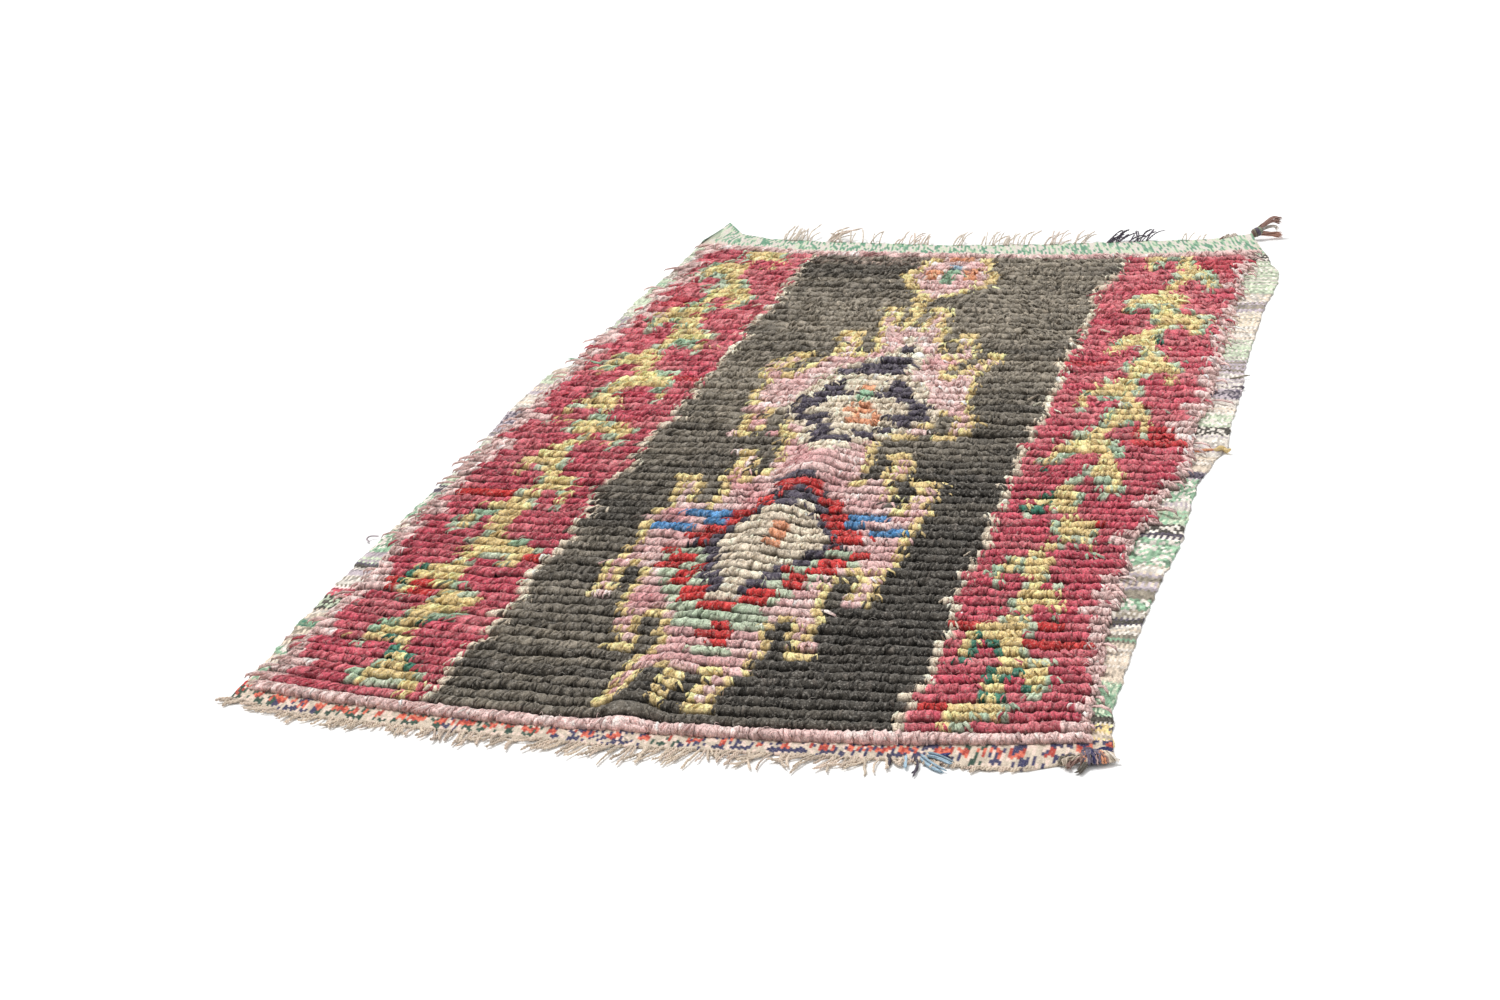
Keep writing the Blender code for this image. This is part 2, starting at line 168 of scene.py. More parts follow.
# Loose yarns: dye, shade, yarns, turns, and in millimetres the radius of a yarn, the spread of the
# yarns and four points
LOOSE_ENDS = (
    ("sky", 1.0, 6, 0.2, 1.5, 4, ((338, -1152, 5), (347, -1164, 5), (359, -1175, 4), (374, -1185, 3))),
    ("sky", 0.85, 5, 0.2, 1.5, 3.6, ((346, -1150, 6), (358, -1156, 7), (370, -1162, 5), (382, -1170, 3))),
    ("sky", 0.9, 3, 0.1, 1.3, 2.2, ((323, -1154, 5), (325, -1164, 4), (326, -1174, 3), (328, -1184, 2))),
    ("navy", 0.9, 3, 0.6, 1.9, 1.8, ((350, -1150, 6), (358, -1155, 8), (366, -1152, 8), (373, -1146, 5))),
    ("plum", 0.7, 2, 1.5, 1.5, 1.1, ((332, -1154, 6), (338, -1169, 4), (340, -1184, 3), (338, -1201, 2.5))),
    ("plum", 0.75, 3, 0.8, 1.4, 1.6, ((300, -1152, 5), (305, -1163, 4), (307, -1174, 3), (306, -1185, 2.5))),
    ("beige", 1.0, 2, 2.0, 1.3, 1, ((275, -1160, 4), (279, -1176, 3), (283, -1192, 2.5), (286, -1206, 2))),
    ("yellow", 1.0, 2, 1.6, 3.2, 3, ((570, -100, 6), (580, -100, 7), (589, -101, 7), (599, -102, 6))),
    ("orange", 0.9, 1, 0.2, 1.9, 0.3, ((542, -108, 5), (552, -107, 6), (562, -103, 6), (574, -101, 6))),
    ("stone", 0.9, 2, 2.0, 1.1, 0.9, ((565, 248, 5), (578, 255, 5), (588, 261, 6), (599, 267, 6))),
    ("plum", 1.0, 2, 1.0, 1.2, 0.9, ((572, 206, 4), (584, 207, 5), (593, 203, 5), (590, 196, 4))),
    ("leaf", 0.85, 3, 0.8, 1.5, 1.4, ((-515, 246, 15), (-538, 262, 13), (-562, 278, 10), (-599, 298, 7))),
    ("lavender", 0.9, 2, 1.0, 1.1, 0.8, ((-586, -556, 4), (-597, -562, 5), (-600, -573, 4), (-592, -582, 3))),
    ("bark", 1.1, 3, 0.5, 1.3, 1.2, ((472, 1134, 5), (481, 1148, 9), (492, 1156, 9), (503, 1153, 5))),
    ("charcoal", 1.6, 9, 0.2, 1.1, 3.6, ((526, -1145, 7), (524, -1152, 6), (521, -1161, 5), (517, -1170, 4))),
    ("beige", 0.8, 8, 0.9, 1, 4.4, ((518, -1136, 7), (509, -1142, 8), (502, -1148, 6), (497, -1157, 3))),
    ("bark", 1.1, 7, 0.9, 1, 3.6, ((520, -1140, 8), (512, -1146, 7), (507, -1153, 5), (505, -1162, 3))),
    ("stone", 0.8, 7, 0.9, 1, 4, ((512, -1134, 7), (503, -1138, 8), (496, -1144, 6), (492, -1152, 3))),
)

# Figures of the field, in rows from the near end and knots out from the middle, the same on both
# sides: first row, last row, inner knot, outer knot
FIGURES = (
    (2, 5, 0, 1), (2, 5, 3, 6), (6, 12, 0, 6),
    (8, 11, 8, 11), (12, 17, 0, 11),
    (14, 17, 13, 16), (18, 26, 0, 16), (27, 30, 13, 16),
    (27, 30, 0, 11), (31, 34, 8, 11), (31, 37, 0, 6), (37, 38, 0, 10),
    (37, 40, 12, 15), (39, 40, 0, 10), (41, 47, 0, 15), (48, 51, 12, 15),
    (48, 51, 0, 10), (52, 55, 7, 10), (52, 56, 0, 5), (57, 60, 2, 5), (57, 62, 0, 1),
)

# Bars of scarlet rag in the borders: first row, last row, first knot, knot after the last
LEFT_BARS = ((13, 14, 9, 17), (18, 18, 0, 5), (27, 27, 8, 17), (46, 46, 0, 4), (60, 61, 11, 17))
RIGHT_BARS = (
    (3, 3, 0, 4), (10, 10, 7, 19), (12, 12, 0, 5), (12, 12, 9, 14), (24, 25, 10, 14),
    (37, 39, 11, 18), (50, 50, 0, 5), (68, 70, 12, 18),
)

# Dyes: name, colour code, use
DYE_TABLE = (
    ("charcoal", "504b44", "Ground of the field at the near end"),
    ("stone", "988e7e", "Ground of the field at the far end"),
    ("rose", "ce5566", "Ground of the two borders"),
    ("scarlet", "d23c3a", "Bright rags in the borders and the near figure"),
    ("pink", "fad3cd", "Fill of the figures and edging of the pile"),
    ("yellow", "fddf9f", "Outline of the figures and the vines"),
    ("mint", "c8d3b8", "Outline of the vines"),
    ("teal", "41806a", "Dark leaves of the vines"),
    ("cream", "f3e2ca", "Lines beside the field and hearts of the figures"),
    ("plum", "5a5260", "Dark rings in the figures"),
    ("blue", "5a97cc", "Small bars in the near figure"),
    ("orange", "f2a880", "Hearts of the figures"),
    ("beige", "dccbb7", "Cords of the warp"),
    ("lavender", "bfb2b8", "Thin wefts"),
    ("bark", "93746b", "Yarns of the corner tassel"),
    ("leaf", "98bc9c", "Wefts of the flat-woven margins"),
    ("bone", "e4dbd0", "Undyed wefts of the margins"),
    ("sky", "a9c2d2", "Loose tuft in the near fringe"),
    ("navy", "3f4374", "Dark ends of the near fringe and the corner bundle"),
)
DYES = [name for name, _, _ in DYE_TABLE]
NUMBER = {name: number for number, name in enumerate(DYES)}

# Knots across a border, and across half of the field. Width of the cream lines between them, and
# the pale edging of a border: knots, share of rows
BORDER_KNOTS = 19
HALF_FIELD = 24
LINE_WIDTH = 0.011
EDGING = ((1, 1.0), (2, 0.50), (3, 0.16), (4, 0.04))

# Places side by side in a knot: locks, and rings of the row's body
LOCKS = 3
RIB_COLUMNS = 3

# Pieces that the pile is split into, from the near end
PILE_BANDS = 4

# Rows that are worked out differently: the first dark row and the first brown row at the far end,
# on the left of the figures
DARK_ROW = 67
BROWN_ROW = 70

# Hooks of a vine: how many, row of the first and rows from one to the next
HOOKS = 17
FIRST_HOOK = 3.2
HOOK_STEP = 4.28

# Bow of the rows: over how many rows it dies away from each end, and how fast
NEAR_BOW_ROWS = 28
FAR_BOW_ROWS = 24
BOW_POWER = 1.4

# Waver of the rows: height, stretch from row to row, length, seed
WAVERS = ((0.0026, 0.05, 0.16, 3), (0.0020, 0.35, 0.05, 4), (0.0016, 0.9, 0.024, 6))

# Points of a lock: share of its length and of its height. Its thickness at the three points between
# its ends, and the painted shade on its dye at shares of its length: dark at the root and the tip,
# where they lie in the creases between rows, with a painted highlight at the crown
LOCK_SHARES = (0.0, 0.25, 0.62, 0.90, 1.0)
LOCK_CLIMB = (0.10, 0.55, 1.00, 0.86, 0.35)
LOCK_THICKNESS = (0.80, 1.10, 0.84)
LOCK_PAINTED_SHADING = ((0.0, 0.28), (0.3, 0.88), (0.62, 1.09), (0.90, 0.88), (1.0, 0.14))

# Where the pile starts to be tousled, from the near end, and over what length it grows
TOUSLED_FROM = -0.40
TOUSLED_OVER = 0.8

# How far roots sink into the weave, and how much of the pile's height is missing in the hollow
ROOT_DEPTH = 0.0008
HOLLOW_DEPTH = 0.45

# Flat width of the cloth, how far its underside stands off the floor, and the bulge of a woven edge
CLOTH_WIDTH = 1.14
GUARD = 0.0004
LIP = 0.0009

# How far the sides reach under the pile, and past its ends at the near and far corners
SIDE_TUCK = 0.012
PAST_ENDS = (0.004, 0.006)

# Where the near fringe begins and ends, how far inside the edge its cords start, and how far the
# cords of the far fringe start under the edge
NEAR_FRINGE_SPAN = (-0.548, 0.472)
ON_EDGE = 0.002
UNDER_EDGE = 0.008

# Tassel: its knot from end to end along it, and the radii of its wraps' middle line, of a wrap's
# yarn and of its heart
KNOT_SPAN = (-0.007, 0.009)
WRAP_GIRTH = 0.0078
WRAP_RADIUS = 0.0017
TASSEL_HEART = 0.0068

# Bundle: its heart's ends, and radius by share of its length
HEART_ENDS = (-0.006, 0.031)
HEART_HEIGHT = 0.0078
HEART_RADIUS = ((0.0, 0.005), (0.2, 0.0072), (0.8, 0.0072), (1.0, 0.005))

# Counts of stray fibres, near cords and warps of a side margin, and the points of the paths
STRAY_FIBRES = 1500
FIBRE_POINTS = 5
NEAR_CORDS = 200
NEAR_CORD_POINTS = 12
FAR_CORD_POINTS = 10
YARN_POINTS = 14
MARGIN_WARPS = 16

# Ground weave: places across and along, and the heights of its two faces
GROUND_PLACES = (46, 92)
GROUND_LAYERS = (0.0020, 0.0006)

# Share of each part of pale pink in faded rose, what a light fleck adds to its dye, what the deeper
# pink of the figures takes off theirs, and the colour of the heathering's specks
FADED_ROSE = np.array([1.0, 0.62, 0.66])
FLECK = np.array([0.045, 0.035, 0.030])
DEEP_PINK = np.array([0.25, 0.56, 0.50])
PALE_SPECK = (0.80, 0.74, 0.66, 1)

# Ring of a row's body: share of the row from its far side, share of the pile's height, and painted
# shade on the dye: dark in the creases between rows, with a painted highlight at the crown
RIB_RING = (
    (0.06, 0.12, 0.16), (0.17, 0.60, 0.62), (0.42, 0.95, 1.0), (0.70, 1.02, 1.04),
    (0.89, 0.86, 0.84), (0.96, 0.50, 0.30), (0.94, 0.05, 0.12),
)

# Materials: grain across and along a strand and its contrast, scale, amount and specks of the
# heathering, depth of the relief, sheen
YARNS = {
    "Pile wool": (700.0, 170.0, 1.3, 330.0, 1.6, 0.24, 0.0020, 0.12),
    "Flat woven yarn": (500.0, 500.0, 0.5, 600.0, 1.2, 0.15, 0.0006, 0.05),
    "Twisted cord": (1500.0, 260.0, 0.8, 500.0, 0.9, 0.15, 0.0005, 0.05),
}

# Stage: half the floor's width, lamps with place, angular width and power, and the camera
FLOOR_HALF = 15
LAMPS = (("key", (-1.3, 0.9, 2.8), 24.0, 2.35), ("fill", (2.4, -2.6, 3.2), 80.0, 0.35))
CAMERA_PLACE = (0.8772, -3.5215, 1.2223)
CAMERA_TURNS = ((16.834, "Z"), (69.723, "X"), (-4.210, "Z"))
SENSOR_WIDTH = 36.0
FOCAL_LENGTH = 57.36


def linear(code):
    """Six-figure colour code as linear red, green and blue."""
    parts = [int(code[i:i + 2], 16) / 255 for i in (0, 2, 4)]
    return tuple(p / 12.92 if p <= 0.04045 else ((p + 0.055) / 1.055) ** 2.4 for p in parts)


def metres(name, value, text):
    """A length that the user can set."""
    return bpy.props.FloatProperty(
        name=name, description=text, default=value, min=0, soft_max=4 * value, unit="LENGTH"
    )


class RugDyes(bpy.types.PropertyGroup):
    """Dyes of the rags and yarns"""

    __annotations__ = {
        name: bpy.props.FloatVectorProperty(
            name=name.capitalize(), description=use, default=linear(code), size=3, min=0, max=1,
            subtype="COLOR"
        )
        for name, code, use in DYE_TABLE
    }


class RugSizes(bpy.types.PropertyGroup):
    """Sizes of the knots, the flat weave and the cords"""

    rows: bpy.props.IntProperty(
        name="Rows", description="Rows of knots from end to end", default=73, min=40, max=110
    )
    first_pitch: metres("First pitch", 0.0265, "Distance between the rows at the near end")
    lock_radius: metres("Lock radius", 0.0027, "Half the thickness of one lock of pile")
    pile_height: metres("Pile height", 0.0104, "Height of a lock's middle line above the weave")
    warp_pitch: metres("Warp pitch", 0.0038, "Distance between the warps of the flat weave")
    weft_pitch: metres("Weft pitch", 0.0042, "Distance between the wefts of the flat weave")
    weave_height: metres("Weave height", 0.0035, "Thickness of the flat weave")
    weave_relief: metres("Weave relief", 0.0005, "Height of the beads of the flat weave")
    cord_radius: metres("Cord radius", 0.0011, "Half the thickness of one ply of a fringe cord")


def along(table, at, column=1):
    """Straight-line reading of one column of a table at places in its first column."""
    rows = np.array(table)
    return np.interp(at, rows[:, 0], rows[:, column])


def ripple(x, y, length, seed):
    """Gentle unevenness between about -1 and 1: the sum of nine plane waves of about one length,
    whose directions and starts come from a seeded draw."""
    draw = np.random.default_rng(seed)
    total = 0
    for turn, size, start in draw.uniform((0, 0.6, 0), (2 * np.pi, 1.7, 2 * np.pi), (9, 3)):
        way = x * np.cos(turn) + y * np.sin(turn)
        total = total + np.sin(2 * np.pi * way / (size * length) + start)
    return total / 3


def ripples(x, y, *waves):
    """Sum of ripples, each given by its height, its length and its seed."""
    return sum(height * ripple(x, y, length, seed) for height, length, seed in waves)


def lift(x, y):
    """Height of the cloth's underside: a raised cosine across the lengthwise fold, and a squared
    cone at each curled corner."""
    across = np.minimum(np.abs(x - along(FOLD, y)) / FOLD_HALF_WIDTH, 1)
    height = along(FOLD, y, 2) * (0.5 + 0.5 * np.cos(np.pi * across))
    for corner_x, corner_y, reach, rise in CURLED_CORNERS:
        far = np.minimum(np.hypot(x - corner_x, y - corner_y) / reach, 1)
        height = height + rise * (1 - far) ** 2
    return height


def place(co, loops, starts, name, colours, uv):
    """A mesh object from whole arrays: vertex places, the corners of all faces in a row, and the
    first corner of each face. Colours are per vertex, and uv is per corner, in metres."""
    mesh = bpy.data.meshes.new(name)
    mesh.vertices.add(len(co))
    mesh.loops.add(len(loops))
    mesh.polygons.add(len(starts))
    mesh.vertices.foreach_set("co", np.ascontiguousarray(co, np.float32).ravel())
    mesh.loops.foreach_set("vertex_index", np.ascontiguousarray(loops, np.int32))
    mesh.polygons.foreach_set("loop_start", np.ascontiguousarray(starts, np.int32))
    mesh.update(calc_edges=True)
    mesh.polygons.foreach_set("use_smooth", np.ones(len(starts), bool))
    full = np.ones((len(co), 4), np.float32)
    full[:, :3] = np.clip(colours, 0, 1)
    # The dye attribute holds each vertex's colour: the dye, times the painted shade and highlight where a
    # piece has them
    layer = mesh.color_attributes.new("dye", "FLOAT_COLOR", "POINT")
    layer.data.foreach_set("color", full.ravel())
    layer = mesh.uv_layers.new(name="strand")
    layer.data.foreach_set("uv", np.ascontiguousarray(uv, np.float32).ravel())
    mesh.validate()
    piece = bpy.data.objects.new(name, mesh)
    bpy.context.scene.collection.objects.link(piece)
    return piece


def frames(paths):
    """Two directions across each path at each of its points: level and square to the path, and
    square to both. A path is followed by the differences of its points."""
    ahead = np.gradient(paths, axis=1)
    ahead /= np.linalg.norm(ahead, axis=2, keepdims=True)
    level = np.cross(ahead, np.array([0.0, 0.0, 1.0]))
    size = np.linalg.norm(level, axis=2, keepdims=True)
    level = np.where(size > 0.05, level / np.maximum(size, 1e-9), np.array([1.0, 0.0, 0.0]))
    return level, np.cross(level, ahead)


def run_along(points):
    """Length from the first point to each point, along the last axis but one."""
    step = np.linalg.norm(np.diff(points, axis=-2), axis=-1)
    return np.concatenate([np.zeros(step.shape[:-1] + (1,)), np.cumsum(step, -1)], -1)


def round_it(angle, level, up):
    """Directions at angles round a path, from the two directions across it."""
    return np.cos(angle)[..., None] * level + np.sin(angle)[..., None] * up


def tube_corners(count, rings, sides):
    """Corners and first corners of the faces of closed tubes whose rings lie between two end
    points: a fan at each end and four-sided faces between."""
    side = np.arange(sides)
    after = (side + 1) % sides
    last = 1 + (rings - 1) * sides
    start_fan = np.stack([np.zeros(sides, int), 1 + side, 1 + after], 1)
    end_fan = np.stack([np.full(sides, 1 + rings * sides), last + after, last + side], 1)
    ring = 1 + np.arange(rings - 1)[:, None] * sides
    quads = np.stack([ring + side, ring + sides + side, ring + sides + after, ring + after], 2)
    first = np.arange(count)[:, None] * (rings * sides + 2)
    fans = np.concatenate([start_fan, end_fan]).reshape(1, -1) + first
    quads = quads.reshape(1, -1) + first
    loops = np.concatenate([fans.ravel(), quads.ravel()])
    threes = 3 * np.arange(fans.size // 3)
    fours = fans.size + 4 * np.arange(quads.size // 4)
    return loops, np.concatenate([threes, fours])


def tubes(name, paths, radii, colours, sides=5, flat=1.0, rough=0.0):
    """Closed tapered tubes carried along paths. The first and last points of a path are the
    tube's ends, and each point between has a ring: centre + radius (cos a level + sin a up).
    Paths are tube by point by xyz, radii tube by ring, and colours tube by point by rgb. Rough
    is how far the ring's points stray."""
    count, points, _ = paths.shape
    rings = points - 2
    level, up = frames(paths)
    angle = 2 * np.pi * np.arange(sides) / sides
    centre = paths[:, 1:-1, None, :]
    wide = radii[:, :, None, None]
    ring = centre + wide * (
        np.cos(angle)[:, None] * level[:, 1:-1, None, :]
        + flat * np.sin(angle)[:, None] * up[:, 1:-1, None, :]
    )
    ring = ring.reshape(count, rings * sides, 3)
    if rough:
        ring = ring + np.random.default_rng(rings).normal(0, rough, ring.shape)
    co = np.concatenate([paths[:, :1], ring, paths[:, -1:]], 1).reshape(-1, 3)
    shade = np.repeat(colours[:, 1:-1], sides, axis=1)
    shade = np.concatenate([colours[:, :1], shade, colours[:, -1:]], 1).reshape(-1, 3)
    loops, starts = tube_corners(count, rings, sides)
    run = run_along(paths) + np.random.default_rng(count).uniform(0, 3, (count, 1))
    girth = 2 * np.pi * radii.mean(1)[:, None]
    turn = np.tile(np.arange(sides) / sides, rings)[None, :] * girth
    part = np.repeat(run[:, 1:-1], sides, axis=1)
    u = np.concatenate([0 * girth, turn, 0 * girth], 1).ravel()[loops]
    v = np.concatenate([run[:, :1], part, run[:, -1:]], 1).ravel()[loops]
    sizes = np.diff(np.append(starts, len(loops)))
    around = np.repeat(girth.ravel(), rings * sides + 2)[loops]
    highest = np.repeat(np.maximum.reduceat(u, starts), sizes)
    u = np.where(highest - u > 0.6 * around, u + around, u)
    return place(co, loops, starts, name, shade, np.stack([u, v], 1))


def smooth_paths(points, rings):
    """Each path's few points as a smooth curve of many: cubic pieces whose slopes are half the
    difference of the neighbouring points. Points are path by point by xyz."""
    count = points.shape[1]
    slope = np.gradient(points, axis=1)
    at = np.linspace(0, count - 1, rings)
    low = np.minimum(at.astype(int), count - 2)
    t = (at - low)[None, :, None]
    p0, p1 = points[:, low], points[:, low + 1]
    m0, m1 = slope[:, low], slope[:, low + 1]
    return (
        (2 * t**3 - 3 * t**2 + 1) * p0 + (t**3 - 2 * t**2 + t) * m0
        + (3 * t**2 - 2 * t**3) * p1 + (t**3 - t**2) * m1
    )


def plied(paths, radii, plies, offset, pitch, phase):
    """Plies of twisted cords: each runs round its cord's path at offset times the cord's radius,
    one turn in each pitch of its length."""
    level, up = frames(paths)
    run = run_along(paths)
    out = []
    for ply in range(plies):
        turn = 2 * np.pi * (run / pitch + ply / plies) + phase[:, None]
        out.append(paths + offset * radii[:, :, None] * round_it(turn, level, up))
    return np.concatenate(out)


def yarns_round(points, count, spread, turns, rings, draw):
    """Paths of yarns bundled round one smooth curve: each keeps a place of its own in the curve's
    cross-section, winds round it by some turns, and strays outwards towards the tip."""
    line = smooth_paths(points[None], rings)
    level, up = frames(line)
    t = np.linspace(0, 1, rings)
    angle = draw.uniform(0, 2 * np.pi, count)[:, None] + 2 * np.pi * turns * t
    out = np.sqrt(draw.uniform(0.1, 1, count))[:, None] * spread
    out = out * (0.8 + 0.9 * draw.uniform(0, 1, count)[:, None] * t**3)
    ring = round_it(angle, level, up)
    cut = 1 - draw.uniform(0, 0.16, count)[:, None, None] * t[:, None] ** 2
    return line[:, :1] + (line - line[:, :1]) * cut + out[..., None] * ring


def tinted(table, name, shade, count, points, draw):
    """Colours of some yarns of one dye, each with a shade of its own, point by point."""
    colour = table[NUMBER[name]] * shade * draw.uniform(0.72, 1.18, (count, 1, 1))
    return colour * draw.uniform(0.9, 1.1, (count, points, 1))


def near(value, at, reach):
    """1 at a place, falling to 0 at a reach to both sides."""
    return np.clip(1 - np.abs(value - at) / reach, 0, 1)


def lozenge(out, row, middle, half, above, below):
    """1 on a stepped diamond's edge: knots out over its half width plus rows over its half
    height, which differs above and below its middle row."""
    rise = row - middle
    return np.abs(out) / half + np.where(rise > 0, rise / above, -rise / below)


def field_chart(rows, seed):
    """Dye number of each knot of the field, row by knot. The figures are stacked bars with prongs,
    outlined one knot wide, with stepped diamonds inside, and drift a knot to the side here and
    there."""
    draw = np.random.default_rng(seed)
    out = np.arange(2 * HALF_FIELD) - HALF_FIELD + 0.5
    row = np.arange(rows)[:, None]
    wide = np.abs(out)[None, :]
    figure = np.zeros((rows, 2 * HALF_FIELD), bool)
    for first, last, inner, outer in FIGURES:
        figure |= (row >= first) & (row <= last) & (wide >= inner) & (wide <= outer)
    top = lozenge(out, row, 67, 7.8, 11.0, 7.0)
    figure |= top < 1
    around = np.pad(figure, 1, constant_values=False)
    inside = around[:-2, 1:-1] & around[2:, 1:-1] & around[1:-1, :-2] & around[1:-1, 2:]
    chart = np.full(figure.shape, NUMBER["charcoal"])
    chart[figure] = NUMBER["pink"]
    chart[figure & ~inside] = NUMBER["yellow"]
    worn = figure & ~inside & (draw.random(figure.shape) < 0.05)
    chart[worn] = NUMBER["pink"]

    def paint(where, name):
        chart[figure & where] = NUMBER[name]

    blocks = (np.floor(wide / 2.5) + np.floor(row / 2)) % 2 == 0
    rings = lozenge(out, row, 21.6, 6.2, 5.9, 6.8)
    lower = row < 21
    band = inside & (rings < 2.10) & (rings >= 1.3) & (row > 9) & (row < 31)
    paint(band & lower & blocks, "scarlet")
    paint(band & lower & ~blocks, "mint")
    paint(band & ~lower & blocks & (rings < 1.75), "scarlet")
    paint(band & ~lower & ~blocks & (rings < 1.6), "plum")
    paint(inside & ~lower & (rings >= 1.16) & (rings < 1.40), "scarlet")
    paint(inside & (rings >= 0.98) & (rings < np.where(lower, 1.34, 1.18)), "plum")
    paint(inside & (rings >= 1.2) & (rings < 1.5) & (row < 20) & blocks, "scarlet")
    paint(rings < 0.98, "cream")
    paint((rings < 0.26) | ((wide < 1) & (row == 23)), "orange")
    paint(inside & (wide > 7) & (wide < 12.5) & (row == 25), "blue")
    paint(inside & (wide > 10) & (wide < 15) & (row == 23), "blue")
    paint(inside & (wide > 7) & (wide < 9) & (row == 24), "blue")
    paint((wide < 2) & (row == 14), "cream")
    paint((wide < 1) & (row == 15), "cream")
    paint((wide < 5) & (row == 12), "mint")
    paint((wide < 5) & (wide > 1) & (row == 11), "mint")
    paint((wide < 1 + (row == 10)) & (row >= 9) & (row <= 11), "scarlet")
    paint((wide < 2.2) & (row == 8), "mint")
    ring = lozenge(out, row, 40.6, 8.6, 10.8, 5.4)
    paint((ring < 1.32), "cream")
    paint((ring >= 0.80) & (ring < 1.12) & ((row % 4 != 3) | (wide > 5)), "plum")
    paint((ring >= 0.55) & (ring < 0.8) & (row % 4 == 0), "plum")
    paint((wide < 2.2) & (row >= 39) & (row <= 41), "orange")
    paint((wide < 1.2) & ((row == 42) | (row == 45)), "orange")
    paint((wide < 1.2) & ((row == 43) | (row == 44)), "leaf")
    paint((wide < 0.7) & (row == 40), "cream")
    paint((top < 1) & (top >= 0.76), "yellow")
    paint((wide < 1.2) & (row >= 66) & (row <= 68), "leaf")
    paint((wide < 0.7) & (row == 69), "sky")
    paint((wide > 2) & (wide < 4) & ((row == 67) | (row == 68)), "orange")
    paint((wide < 2) & (row == 71), "orange")
    drift = np.round(0.75 * ripple(0 * row, row, 9, seed)).astype(int)
    source = (np.arange(2 * HALF_FIELD)[None, :] + drift) % (2 * HALF_FIELD)
    return np.take_along_axis(chart, source, 1)


def border_chart(rows, bars, seed):
    """Dye number of each knot of a border, row by knot outwards from the cream line. A stem
    zigzags between hooks that spring from it in turn to either side and bend to the near end. Bars
    of scarlet rag are given as first row, last row, first knot and the knot after the last."""
    draw = np.random.default_rng(seed)
    row = np.arange(rows)[:, None] + 0.0
    knot = np.arange(BORDER_KNOTS)[None, :] + 0.5
    spring = FIRST_HOOK + HOOK_STEP * np.arange(HOOKS) + draw.uniform(-0.4, 0.4, HOOKS)
    side = np.where(np.arange(HOOKS) % 2 == 0, -1, 1)
    middle = 7.6 + 2.2 * spring / rows
    stem = np.interp(row, spring, middle + side * 1.8)
    yellow = (np.abs(knot - stem) < 1.1) & (row > 1) & (row < rows - 1.5)
    for at, way, root, share in zip(spring, side, middle, draw.uniform(0, 1, HOOKS)):
        out = (knot - root) * way
        reach = 4.3 + 1.3 * share + 0.7 * (way < 0)
        top = round(at)
        bar = (row <= top) & (row >= top - 1) & (out > -1) & (out < reach - 0.9 * (row == top))
        tip = (out > reach - 2.3 - 0.5 * (row - top)) & (out < reach)
        yellow |= bar | (tip & (row >= top - 3) & (row < top - 1))
    around = np.pad(yellow, 1, constant_values=False)
    level = around[1:-1, :-2] | around[1:-1, 2:]
    inner = around[1:-1, :-2] & around[1:-1, 2:] & around[2:, 1:-1] & around[:-2, 1:-1]
    above, below = around[2:, 1:-1], around[:-2, 1:-1]
    chance = 0.5 + 0.4 * ripple(knot * 0.7, row, 5, seed + 1) + draw.normal(0, 0.12, yellow.shape)
    rim = ~yellow & ((level & (chance < 0.40)) | (above & (chance < 0.52)) | (below & (chance < 0.32)))
    rim |= yellow & ~inner & (chance > 0.84)
    yellow &= ~rim
    dark = ripple(knot * 0.4, row, 9, seed) > np.where(row < 16, 0.30, 1.30)
    chart = np.full(yellow.shape, NUMBER["rose"])
    for first, last, inner, outer in bars:
        chart[first:last + 1, inner:outer] = NUMBER["scarlet"]
    chart[rim] = np.where(dark, NUMBER["teal"], NUMBER["mint"])[rim]
    chart[yellow] = NUMBER["yellow"]
    for knots, share in EDGING:
        chart[draw.random(rows) < share, -knots:] = NUMBER["pink"]
    return chart


def whole_chart(rows):
    """Dye number of every knot: left border, cream line, field, cream line and right border,
    with a pale pink row at each end."""
    line = np.full((rows, 1), NUMBER["cream"])
    left = border_chart(rows, LEFT_BARS, 21)[:, ::-1]
    right = border_chart(rows, RIGHT_BARS, 34)
    chart = np.concatenate([left, line, field_chart(rows, 5), line, right], 1)
    draw = np.random.default_rng(8)
    for column, way in ((BORDER_KNOTS, 1), (BORDER_KNOTS + 1 + 2 * HALF_FIELD, -1)):
        moved = draw.random(rows) < 0.25
        chart[moved, column + way] = NUMBER["cream"]
        chart[moved, column] = chart[moved, column - way]
    chart[0] = NUMBER["pink"]
    chart[-1] = NUMBER["pink"]
    return chart


def row_line(rows, row, x, first_pitch):
    """y of the near edge of a row of knots at x. The rows bow with the two ends of the pile, and
    the bow dies away towards the middle, where the rows are straight but for a slight waver."""
    start, stop = along(PILE_ENDS, 0, 1), along(PILE_ENDS, 0, 2)
    growth = (stop - start) / rows - first_pitch
    middle = start + first_pitch * row + growth * row**2 / rows
    near_share = np.clip(1 - row / NEAR_BOW_ROWS, 0, 1) ** BOW_POWER
    far_share = np.clip(1 - (rows - row) / FAR_BOW_ROWS, 0, 1) ** BOW_POWER
    near_bow = (along(PILE_ENDS, x, 1) - start) * near_share
    far_bow = (along(PILE_ENDS, x, 2) - stop) * far_share
    calm = np.clip(np.minimum(row, rows - row) / 3, 0, 1)
    waver = sum(high * ripple(x, row * stretch, long, seed) for high, stretch, long, seed in WAVERS)
    return middle + near_bow + far_bow + waver * calm


